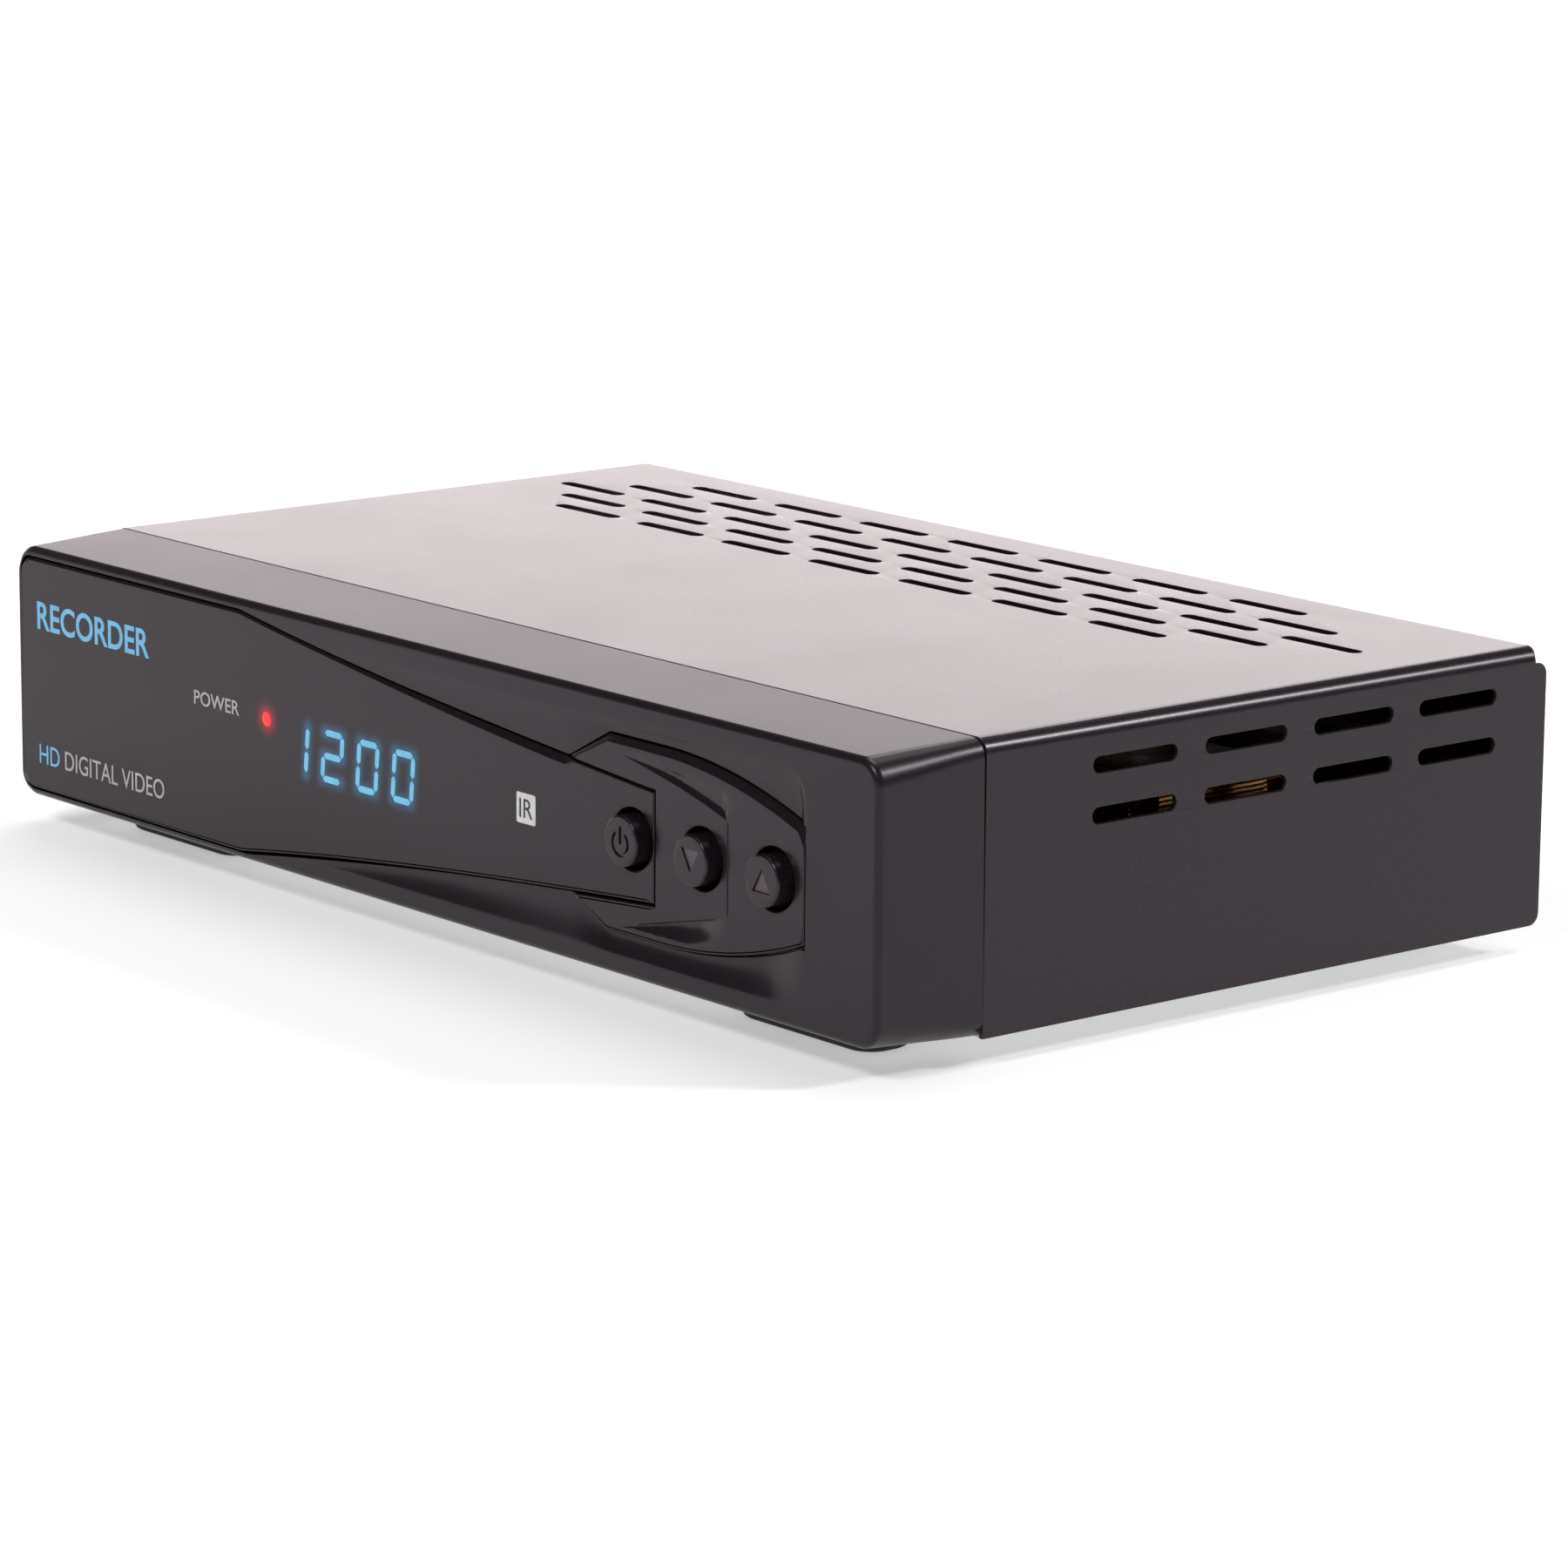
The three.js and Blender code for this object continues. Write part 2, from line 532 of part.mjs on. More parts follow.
function displayBoard() {
  const board = block(
    DISPLAY_BOARD.x,
    [DISPLAY_BOARD_FRONT, DISPLAY_BOARD_FRONT + BOARD],
    DISPLAY_BOARD.z,
  );
  place("display_board", "greenBoard", board);
  const onBoard = DISPLAY_BOARD_FRONT - GAP;
  place("digit_display", "blueDisplay", block(DIGITS.x, [DIGITS.front, onBoard], DIGITS.z));

  const { at, radius, front } = LIGHT;
  const bulb = new THREE.SphereGeometry(radius, 16, 8).translate(at[0], front, at[1]);
  const lightBody = bar("y", radius, [front, onBoard], at, 16);
  place("power_light", "redLight", solid(bulb).add(lightBody));

  const { x, z } = RECEIVER;
  const eyeAt = [(x[0] + x[1]) / 2, (z[0] + z[1]) / 2];
  const receiver = block(x, [RECEIVER.front, onBoard], z);
  const eye = bar("y", RECEIVER.eye, [RECEIVER.eyeFront, RECEIVER.front + 1], eyeAt, 16);
  place("infrared_receiver", "darkPlastic", receiver.add(eye));
}

// Each button: the cap seen from the front, the plunger behind it and the switch that it presses.
function buttons() {
  const onBoard = DISPLAY_BOARD_FRONT - GAP;
  const switchFront = onBoard - SWITCH_DEPTH;
  for (const { name, x } of BUTTONS) {
    const at = [x, FACE_MID];
    const bevel = CAP_BEVEL;
    const capProfile = [
      [0, FRONT - CAP_PROUD],
      [CAP_RADIUS - bevel, FRONT - CAP_PROUD],
      [CAP_RADIUS, FRONT - CAP_PROUD + bevel],
      [CAP_RADIUS, CAP_BACK],
      [0, CAP_BACK],
    ].map(([radius, y]) => new THREE.Vector2(radius, y));
    const cap = solid(new THREE.LatheGeometry(capProfile, 28).translate(x, 0, FACE_MID));
    place(`${name}_button`, "blackPlastic", cap);

    const seated = BUTTON_TRAVEL + 0.7; // how deep the plunger stands in the switch at rest
    const neck = bar("y", PLUNGER_RADIUS, [CAP_BACK + GAP, switchFront + seated], at, 16);
    place(`${name}_switch_plunger`, "darkPlastic", neck);

    const body = block(around(x, SWITCH_HALF), [switchFront, onBoard], around(FACE_MID, SWITCH_HALF));
    const bore = bar(
      "y",
      PLUNGER_RADIUS + GAP,
      [switchFront - 1, switchFront + seated + BUTTON_TRAVEL + 0.4],
      at,
      16,
    );
    place(`${name}_switch_body`, "bareSteel", body.subtract(bore));
  }
}

// ---------------------------------------------------------------- main board, chip, disk, sockets
const ON_MAIN = MAIN_BOARD_TOP + GAP;
const CHIP = { x: 34, y: 58, half: 13.5, height: 2 };
const SINK = { half: [16, 17], base: 2.5, top: 12, fins: 8, pitch: 4.357, fin: 1.2 };

function drilledBoard({ left, right, front, back }, prefix) {
  const board = block([left, right], [front, back], [MAIN_BOARD_BOTTOM, MAIN_BOARD_TOP]);
  const holes = BOARD_SCREWS.filter(({ name }) => name.startsWith(prefix)).map(({ x, y }) =>
    bar("z", SCREW_RADIUS + GAP, [MAIN_BOARD_BOTTOM - 1, MAIN_BOARD_TOP + 1], [x, y], 10),
  );
  return cut(board, holes);
}

function mainBoard() {
  place("main_board", "greenBoard", drilledBoard(MAIN_BOARD, "main"));
  const chipTop = ON_MAIN + CHIP.height;
  const chip = block(around(CHIP.x, CHIP.half), around(CHIP.y, CHIP.half), [ON_MAIN, chipTop]);
  place("system_chip", "darkPlastic", chip);
  const long = around(CHIP.y, SINK.half[1]);
  const base = block(around(CHIP.x, SINK.half[0]), long, [chipTop + GAP, chipTop + SINK.base]);
  const first = CHIP.x - (SINK.pitch * (SINK.fins - 1)) / 2;
  const fins = Array.from({ length: SINK.fins }, (_, i) =>
    block(around(first + SINK.pitch * i, SINK.fin / 2), long, [chipTop + SINK.base - 0.5, chipTop + SINK.top]),
  );
  place("heat_sink", "aluminium", join([base, ...fins]));
}

const DISK = { x: [-80, 20.2], y: [20, 89.9], z: [28.2, 37.7] };
const DISK_LID = { inset: [8, 6], top: 38.2 };
const BRACKET = { x: [-105, 56.4], y: [34, 84], top: 28, toes: [5, 1] };

function diskAndBracket() {
  const body = block(DISK.x, DISK.y, DISK.z);
  const [lidX, lidY] = DISK_LID.inset;
  const lid = block(grown(DISK.x, -lidX), grown(DISK.y, -lidY), [DISK.z[1] - 0.5, DISK_LID.top]);
  place("hard_disk", "aluminium", body.add(lid));

  const { x, y, top, toes: reach } = BRACKET;
  const shelf = block(x, y, [top - SHEET, top]);
  const legs = [x[0], x[1] - SHEET].map((low) => block([low, low + SHEET], y, [SHEET + GAP, top]));
  const toes = [
    block([x[0] - reach[0], x[0] + SHEET], y, [SHEET + GAP, SHEET * 2 + GAP]),
    block([x[1] - SHEET, x[1] + reach[1]], y, [SHEET + GAP, SHEET * 2 + GAP]),
  ];
  place("disk_bracket", "bareSteel", join([shelf, ...legs, ...toes]));
}

const TUNER = { x: [-97, -63], front: 78, top: 22 };

function tuner() {
  const can = block(TUNER.x, [TUNER.front, REAR_PANEL.inner - 0.3], [ON_MAIN, TUNER.top]);
  place("tuner_can", "nickel", can);
  for (const { name, x } of AERIALS) {
    const at = [x, AERIAL.height];
    const end = COVER_DEPTH + CONNECTOR_REACH;
    const barrel = bar("y", AERIAL.radius, [REAR_PANEL.inner - GAP, end], at, 24);
    const nut = bar("y", AERIAL.nut, [REAR_PANEL.outer + GAP, REAR_PANEL.outer + AERIAL.nutDepth], at, 6);
    const bore = bar("y", AERIAL.bore, [end - AERIAL.boreDepth, end + 1], at, 8);
    place(name, "nickel", cut(barrel.add(nut), [bore]));
  }
}

// A metal or plastic shell with an opening in its rear face and, where it has one, a tongue inside.
function socket({ x, z, front, wall, tongue }, rear) {
  const shell = block(x, [front, rear], z);
  const mouth = block(grown(x, -wall), [front + 2, rear + 1], grown(z, -wall));
  const hollow = shell.subtract(mouth);
  return tongue ? hollow.add(block(grown(x, -tongue.inset), [front + 1, rear - 1], tongue.z)) : hollow;
}

function rearSockets() {
  const proud = REAR_PANEL.outer + 0.7;
  place("network_socket", "nickel", socket(NETWORK, proud));
  place("hdmi_socket", "nickel", socket(HDMI, proud));
  place("usb_socket", "nickel", socket(USB, proud));
  const inset = -OPTICAL.shutterInset;
  const optical = block(OPTICAL.x, [OPTICAL.front, proud], OPTICAL.z);
  const shutter = block(grown(OPTICAL.x, inset), [proud - 1, proud + 1], grown(OPTICAL.z, inset));
  place("optical_audio_socket", "darkPlastic", optical.subtract(shutter));

  const { jacks, height, rear } = PHONO;
  const housing = block(PHONO.x, [PHONO.front, REAR_PANEL.inner - GAP], PHONO.z);
  const barrels = jacks.map((x) => bar("y", PHONO.radius, [REAR_PANEL.inner - 1, rear], [x, height]));
  const bores = jacks.map((x) => bar("y", PHONO.bore, [PHONO.boreFront, rear + 0.5], [x, height], 12));
  place("phono_sockets", "gold", cut(join([housing, ...barrels]), bores));
}

// ---------------------------------------------------------------- mains parts
function mainsInlet() {
  const { x, z } = INLET;
  const rear = REAR_PANEL.outer + INLET.rear;
  const middle = (x[0] + x[1]) / 2;
  const height = (z[0] + z[1]) / 2;
  const [wide, tall] = INLET.flange;
  const body = block(x, [INLET.front, rear], z);
  const flange = block(grown(x, wide), [REAR_PANEL.outer + GAP, rear], grown(z, tall));
  const recess = roundedRectangle(
    around(middle, INLET_RECESS.halfWidth),
    around(height, INLET_RECESS.halfHeight),
    INLET_RECESS.corner,
  );
  const pinDepth = [INLET_PIN.front, rear - INLET_PIN.short];
  const pins = [-INLET_PIN.offset, INLET_PIN.offset].map((dx) =>
    bar("y", INLET_PIN.radius, pinDepth, [middle + dx, height], 12),
  );
  const hollow = body.add(flange).subtract(prism("xz", recess, [INLET_RECESS.front, rear + 1]));
  place("mains_inlet", "darkPlastic", join([hollow, ...pins]));
}

const ROCKER_AXIS = { y: REAR_PANEL.outer - 1.4, z: (ROCKER.z[0] + ROCKER.z[1]) / 2 };
const ROCKER_TILT = THREE.MathUtils.degToRad(10);
const ROCKER_PIVOT = 1;
// The paddle's section round its axis: its back, its shoulders, its raised ends and its valley.
const PADDLE = { back: -5.5, backHalf: 3, shoulder: -1.5, end: 4.1, endShort: 0.4, valley: 2.2, short: 2.1 };

function mainsSwitch() {
  const { x, z } = ROCKER;
  const rear = REAR_PANEL.outer + ROCKER.rear;
  const body = block(x, [ROCKER.front, rear], z);
  const { flange: rim, wall } = ROCKER;
  const flange = block(grown(x, rim), [REAR_PANEL.outer + GAP, rear], grown(z, rim));
  const well = block(grown(x, -wall), [ROCKER_AXIS.y - ROCKER.well, rear + 1], grown(z, -wall));
  const pivotAt = [ROCKER_AXIS.y, ROCKER_AXIS.z];
  const sockets = bar("x", ROCKER_PIVOT + GAP, grown(x, -0.5), pivotAt, 16);
  place("mains_switch_housing", "darkPlastic", cut(body.add(flange), [well, sockets]));

  // Two faces that meet in a shallow valley, over a round back that clears the housing.
  const halfLength = (z[1] - z[0]) / 2 - PADDLE.short;
  const rockerFaces = polygon([
    [PADDLE.back, -PADDLE.backHalf],
    [PADDLE.back, PADDLE.backHalf],
    [PADDLE.shoulder, halfLength],
    [PADDLE.end, halfLength - PADDLE.endShort],
    [PADDLE.valley, 0],
    [PADDLE.end, -halfLength + PADDLE.endShort],
    [PADDLE.shoulder, -halfLength],
  ]);
  const paddle = prism("yz", rockerFaces, around(0, (x[1] - x[0]) / 2 - 1.75));
  const pivot = bar("x", ROCKER_PIVOT, around(0, (x[1] - x[0]) / 2 - 0.8), [0, 0], 16);
  const tilted = geometryOf(paddle.add(pivot)).rotateX(ROCKER_TILT);
  place("mains_rocker", "darkPlastic", solid(tilted.translate((x[0] + x[1]) / 2, ...pivotAt)));
}

// Parts on the power board, each from the board's top up. A wound part is two blocks through each other.
const ON_POWER = ON_MAIN;
const TRANSFORMER = [
  { x: [82, 106], y: [42, 64], z: [ON_POWER, 33] },
  { x: [85, 103], y: [38.5, 67.5], z: [ON_POWER + 3, 29.5] },
];
const CHOKE = [
  { x: [64, 82], y: [80, 96], z: [ON_POWER, 22] },
  { x: [68, 78], y: [77, 99], z: [ON_POWER + 2, 20] },
];
const CAPACITORS = [
  { name: "bulk_capacitor", at: [72, 61], radius: 9, top: 34 },
  { name: "output_capacitor", at: [92, 24], radius: 5, top: 28 },
];
const RECTIFIER_SINK = { x: [62, 63.5], y: [25, 50], top: 36, finX: [63, 68], finY: [27, 33, 39, 45], fin: 1.4 };
const FUSE = { x: 98, y: [76, 96], radius: 2.5, lift: 3.2, clipY: [77, 93], clip: 2, clipHalf: 3 };

function powerSupply() {
  place("power_board", "greenBoard", drilledBoard(POWER_BOARD, "power"));
  const wound = (blocks) => join(blocks.map(({ x, y, z }) => block(x, y, z)));
  place("transformer", "winding", wound(TRANSFORMER));
  place("mains_choke", "winding", wound(CHOKE));
  for (const { name, at, radius, top } of CAPACITORS)
    place(name, "sleeve", bar("z", radius, [ON_POWER, top], at));

  const { top, finX, finY, fin } = RECTIFIER_SINK;
  const sinkBack = block(RECTIFIER_SINK.x, RECTIFIER_SINK.y, [ON_POWER, top]);
  const sinkFins = finY.map((y) => block(finX, around(y, fin / 2), [ON_POWER + 4, top]));
  place("rectifier_heat_sink", "aluminium", join([sinkBack, ...sinkFins]));

  const fuseHeight = ON_POWER + FUSE.lift;
  const tube = bar("y", FUSE.radius, FUSE.y, [FUSE.x, fuseHeight], 12);
  const clips = FUSE.clipY.map((y) =>
    block(around(FUSE.x, FUSE.clipHalf), [y, y + FUSE.clip], [ON_POWER, fuseHeight + 1]),
  );
  place("fuse", "ceramic", join([tube, ...clips]));
}

// ---------------------------------------------------------------- cables inside the case
function tubeAlong(points, radius, steps) {
  const route = new THREE.CatmullRomCurve3(points.map((point) => new THREE.Vector3(...point)));
  const circle = new THREE.Shape();
  circle.absarc(0, 0, radius, 0, Math.PI * 2);
  const options = { steps, extrudePath: route, curveSegments: 4, bevelEnabled: false };
  return solid(new THREE.ExtrudeGeometry(circle, options));
}

// A flat cable: a strip of even thickness whose middle line is a half wave.
function ribbon(plane, start, end, across, thickness) {
  const steps = 10;
  const upper = [];
  const lower = [];
  for (let i = 0; i <= steps; i += 1) {
    const t = i / steps;
    const along = start[0] + (end[0] - start[0]) * t;
    const height = start[1] + ((end[1] - start[1]) * (1 - Math.cos(Math.PI * t))) / 2;
    upper.push([along, height + thickness / 2]);
    lower.unshift([along, height - thickness / 2]);
  }
  return prism(plane, polygon([...upper, ...lower]), across);
}

// A flat cable's ends, as (along, height), how wide and thick it is, and the plug on the main board.
const FRONT_RIBBON = {
  start: [DISPLAY_BOARD_FRONT + BOARD + 0.4, 16],
  end: [16, 10.4],
  across: [-30, -10],
  thickness: 1.2,
  plug: { x: [-31, -9], y: [13, 17], top: 11.2 },
};
const DISK_RIBBON = {
  start: [DISK.x[1] + 0.4, 32],
  end: [34, 11],
  across: [22, 32],
  thickness: 1.6,
  plug: { x: [31, 36], y: [21, 33], top: 12.2 },
};
const HARNESS = { y: 19.5, radius: 2, plugX: [44, 60], plugY: [16, 23], plugTop: 10.6 };
const HARNESS_ROUTE = [
  [45, 9.6],
  [46.5, 14],
  [54, 17.5],
  [60, 14],
  [61, 9.6],
];

function cables() {
  const plugged = (plane, { start, end, across, thickness, plug }) =>
    ribbon(plane, start, end, across, thickness).add(block(plug.x, plug.y, [ON_MAIN, plug.top]));
  place("front_ribbon_cable", "whiteCable", plugged("yz", FRONT_RIBBON));
  place("disk_cable", "whiteCable", plugged("xz", DISK_RIBBON));

  const route = HARNESS_ROUTE.map(([x, z]) => [x, HARNESS.y, z]);
  const arch = tubeAlong(route, HARNESS.radius, 16);
  const ends = HARNESS.plugX.map((x) => block([x - 2, x + 4], HARNESS.plugY, [ON_MAIN, HARNESS.plugTop]));
  place("power_harness", "whiteCable", join([arch, ...ends]));
}

// ---------------------------------------------------------------- assembly
topCover();
coverScrews();
chassisTray();
boardScrews();
rearPanel();
feet();
frontBezel();
displayLens();
buttonPanel();
displayBoard();
buttons();
mainBoard();
diskAndBracket();
tuner();
rearSockets();
mainsInlet();
mainsSwitch();
powerSupply();
cables();

const part = new THREE.Group();
part.add(recorder);

export default part;
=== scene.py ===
import math

import bmesh
import bpy
from mathutils import Matrix, Vector


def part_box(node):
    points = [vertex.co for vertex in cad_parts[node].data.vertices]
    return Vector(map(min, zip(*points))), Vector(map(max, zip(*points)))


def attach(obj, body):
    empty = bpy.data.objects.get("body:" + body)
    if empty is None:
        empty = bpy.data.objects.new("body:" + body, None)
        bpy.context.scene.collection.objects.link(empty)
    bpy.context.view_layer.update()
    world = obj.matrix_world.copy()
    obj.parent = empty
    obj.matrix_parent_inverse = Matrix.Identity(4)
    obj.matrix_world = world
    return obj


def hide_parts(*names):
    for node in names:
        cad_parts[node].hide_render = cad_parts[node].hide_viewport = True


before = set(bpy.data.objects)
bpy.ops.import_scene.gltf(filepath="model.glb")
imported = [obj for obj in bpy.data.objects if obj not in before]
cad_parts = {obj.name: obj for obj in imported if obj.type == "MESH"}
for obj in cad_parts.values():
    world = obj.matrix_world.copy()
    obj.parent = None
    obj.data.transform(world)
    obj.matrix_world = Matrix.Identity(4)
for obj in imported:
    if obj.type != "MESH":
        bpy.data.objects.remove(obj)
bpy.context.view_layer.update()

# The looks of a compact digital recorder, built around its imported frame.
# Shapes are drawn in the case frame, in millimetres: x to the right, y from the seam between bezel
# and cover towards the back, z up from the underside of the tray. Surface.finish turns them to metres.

MM = 0.001
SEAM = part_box("front_bezel")[1].y
TRAY_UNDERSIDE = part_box("chassis_tray")[0].z
CASE_ORIGIN = Vector((0, SEAM, TRAY_UNDERSIDE))
TO_ROW = Matrix.Translation(CASE_ORIGIN) @ Matrix.Scale(MM, 4)


def span(node):
    """Lowest and highest corner of a CAD node, in case millimetres."""
    low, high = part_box(node)
    return (low - CASE_ORIGIN) / MM, (high - CASE_ORIGIN) / MM


def middle_of(node):
    """A node's middle as seen from the front, (x, z)."""
    low, high = span(node)
    return ((low.x + high.x) / 2, (low.z + high.z) / 2)


def to_row(point):
    """A point in case millimetres as a point in the row frame, in metres."""
    return Vector(point) * MM + CASE_ORIGIN


# ---------------------------------------------------------------- driving dimensions
HALF_WIDTH = span("front_bezel")[1].x
HEIGHT = span("top_cover")[1].z
COVER_LOW, COVER_HIGH = span("top_cover")
LENS_LOW, LENS_HIGH = span("display_lens")
PANEL_LOW, PANEL_HIGH = span("button_panel")
FRONT = LENS_LOW.y
LENS_MID = (LENS_LOW.z + LENS_HIGH.z) / 2
FACE_MID = (PANEL_LOW.z + PANEL_HIGH.z) / 2
COVER_FOOT = 0.0
SHEET = 0.8

BUTTON_NAMES = ["power_button", "down_button", "up_button"]
BUTTON_X = [middle_of(name)[0] for name in BUTTON_NAMES]
CAP_RADIUS = (span("power_button")[1].x - span("power_button")[0].x) / 2
CAP_FRONT = span("power_button")[0].y
HOLE_RADIUS = CAP_RADIUS + 0.85
HOLE_RIM = 0.35

GROOVE = 0.4
PLATE_CORNER = 3.0
SEAT_DEPTH = 4.1
WALL_DEPTH = 5.0
# Less than any step in the shape, for comparing places.
TINY = 0.01


# ---------------------------------------------------------------- small mathematics
def smooth(value):
    """0 below 0, 1 above 1, and an even S between."""
    value = min(max(value, 0.0), 1.0)
    return value * value * (3 - 2 * value)


def steps(low, high, count):
    """count + 1 evenly spaced values from low to high."""
    return [low + (high - low) * i / count for i in range(count + 1)]


def arc(centre, radius, first, last, count):
    """Points of a circular arc, its angles in degrees."""
    turns = [math.radians(angle) for angle in steps(first, last, count)]
    return [(centre[0] + radius * math.cos(a), centre[1] + radius * math.sin(a)) for a in turns]


def circle(centre, radius, count=48):
    """Points of a whole circle, anticlockwise."""
    return arc(centre, radius, 0, 360, count)[:-1]


def roundover(radius, first, last, count):
    """(distance in, depth) pairs along a rounded edge, its angles in degrees."""
    turns = [math.radians(angle) for angle in steps(first, last, count)]
    return [(radius * (1 - math.cos(a)), radius * (1 - math.sin(a))) for a in turns]


def rounded_rectangle(x, z, radius, count=8):
    """Anticlockwise outline between x[0]..x[1] and z[0]..z[1]."""
    corners = [(x[1] - radius, z[0] + radius, -90), (x[1] - radius, z[1] - radius, 0)]
    corners += [(x[0] + radius, z[1] - radius, 90), (x[0] + radius, z[0] + radius, 180)]
    return [p for cx, cz, turn in corners for p in arc((cx, cz), radius, turn, turn + 90, count)]


def bow(x, start, pull, end):
    """Height at x of the parabola from start to end that leaves and arrives towards pull."""
    a = start[0] - 2 * pull[0] + end[0]
    b = 2 * (pull[0] - start[0])
    c = start[0] - x
    t = -c / b if abs(a) < 1e-9 else (math.sqrt(max(b * b - 4 * a * c, 0)) - b) / (2 * a)
    return (1 - t) ** 2 * start[1] + 2 * t * (1 - t) * pull[1] + t * t * end[1]


SHARPEST_MITRE = 0.4


def inset(outline, amounts):
    """Moves each point of an anticlockwise outline inwards by its own amount."""
    moved = []
    for i, point in enumerate(outline):
        here = Vector(point)
        before = (here - Vector(outline[i - 1])).normalized()
        after = (Vector(outline[(i + 1) % len(outline)]) - here).normalized()
        inward = Vector((-before.y - after.y, before.x + after.x))
        if inward.length < 1e-6:
            inward = Vector((-before.y, before.x))
        inward.normalize()
        reach = max(inward.dot(Vector((-before.y, before.x))), SHARPEST_MITRE)
        moved.append(tuple(here + inward * (amounts[i] / reach)))
    return moved


# ---------------------------------------------------------------- mesh building
class Surface:
    """A mesh made of rings, strips and flat fills, in case millimetres."""

    def __init__(self):
        self.mesh = bmesh.new()

    def points(self, places):
        return [self.mesh.verts.new(place) for place in places]

    def ring_at(self, y, outline):
        """A ring of (x, z) points, all at y."""
        return self.points([(x, y, z) for x, z in outline])

    def front_ring(self, outline, depths):
        """A ring drawn on the front: (x, z) points, each its depth behind the front face."""
        if not isinstance(depths, (list, tuple)):
            depths = [depths] * len(outline)
        return self.points([(p[0], FRONT + d, p[1]) for p, d in zip(outline, depths)])

    def strip(self, first, second):
        """Quads between two rows with as many points each."""
        for i in range(len(first) - 1):
            self.face([first[i], first[i + 1], second[i + 1], second[i]])

    def band(self, first, second):
        """Quads between two closed rings."""
        self.strip(first + first[:1], second + second[:1])

    def face(self, corners):
        different = list(dict.fromkeys(corners))
        if len(different) > 2 and not self.mesh.faces.get(different):
            self.mesh.faces.new(different)

    def grid(self, columns):
        """Quads between open rows, one after another."""
        for first, second in zip(columns, columns[1:]):
            self.strip(first, second)

    def stack(self, rings, *closed):
        """Quads between closed rings, one after another; closed picks the rings to fill."""
        for first, second in zip(rings, rings[1:]):
            self.band(first, second)
        for index in closed:
            self.fill(rings[index])

    def fill(self, *rings):
        """One flat face with holes, from closed rings of vertices."""
        edges = []
        for ring in rings:
            for a, b in zip(ring, ring[1:] + ring[:1]):
                if a is not b:
                    edges.append(self.mesh.edges.get((a, b)) or self.mesh.edges.new((a, b)))
        edges = list(dict.fromkeys(edges))
        bmesh.ops.triangle_fill(self.mesh, use_beauty=True, use_dissolve=False, edges=edges)

    def finish(self, name, material, body="case", slot=None, replaces=(), sharp=32, merge=0.0005):
        """Turns the surface into an object that rides on a body."""
        bm = self.mesh
        bmesh.ops.remove_doubles(bm, verts=bm.verts, dist=merge)
        bmesh.ops.dissolve_degenerate(bm, dist=merge / 5, edges=bm.edges)
        bmesh.ops.recalc_face_normals(bm, faces=bm.faces)
        limit = math.radians(sharp)
        for edge in bm.edges:
            edge.smooth = edge.calc_face_angle(math.pi) < limit
        for face in bm.faces:
            face.smooth = True
        bm.transform(TO_ROW)
        data = bpy.data.meshes.new(name)
        bm.to_mesh(data)
        bm.free()
        return settle(name, data, material, body, replaces)


def put(name, data):
    """A new object in the scene."""
    made = bpy.data.objects.new(name, data)
    bpy.context.scene.collection.objects.link(made)
    return made


def settle(name, data, material, body, replaces=()):
    """Puts a mesh in the scene as a piece of the recorder."""
    piece = put(name, data)
    data.materials.clear()
    data.materials.append(material)
    even = piece.modifiers.new("even_normals", "WEIGHTED_NORMAL")
    even.keep_sharp = True
    even.weight = 90
    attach(piece, body)
    if replaces:
        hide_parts(*replaces)
    return piece


# ---------------------------------------------------------------- material building
class Nodes:
    """Fills the node tree of a material or a world."""

    def __init__(self, owner):
        owner.use_nodes = True
        self.tree = owner.node_tree
        self.tree.nodes.clear()

    def add(self, kind, **settings):
        node = self.tree.nodes.new(kind)
        for key, value in settings.items():
            setattr(node, key, value)
        return node

    def give(self, value, socket):
        """Links a socket to an input, or sets a constant on it."""
        if isinstance(value, bpy.types.NodeSocket):
            self.tree.links.new(value, socket)
        else:
            socket.default_value = value

    def feed(self, node, **inputs):
        """Gives a node's inputs their values by name, with _ for a space."""
        for key, value in inputs.items():
            self.give(value, node.inputs[key.replace("_", " ")])
        return node

    def math(self, operation, first, second):
        node = self.add("ShaderNodeMath", operation=operation)
        self.give(first, node.inputs[0])
        self.give(second, node.inputs[1])
        return node.outputs[0]


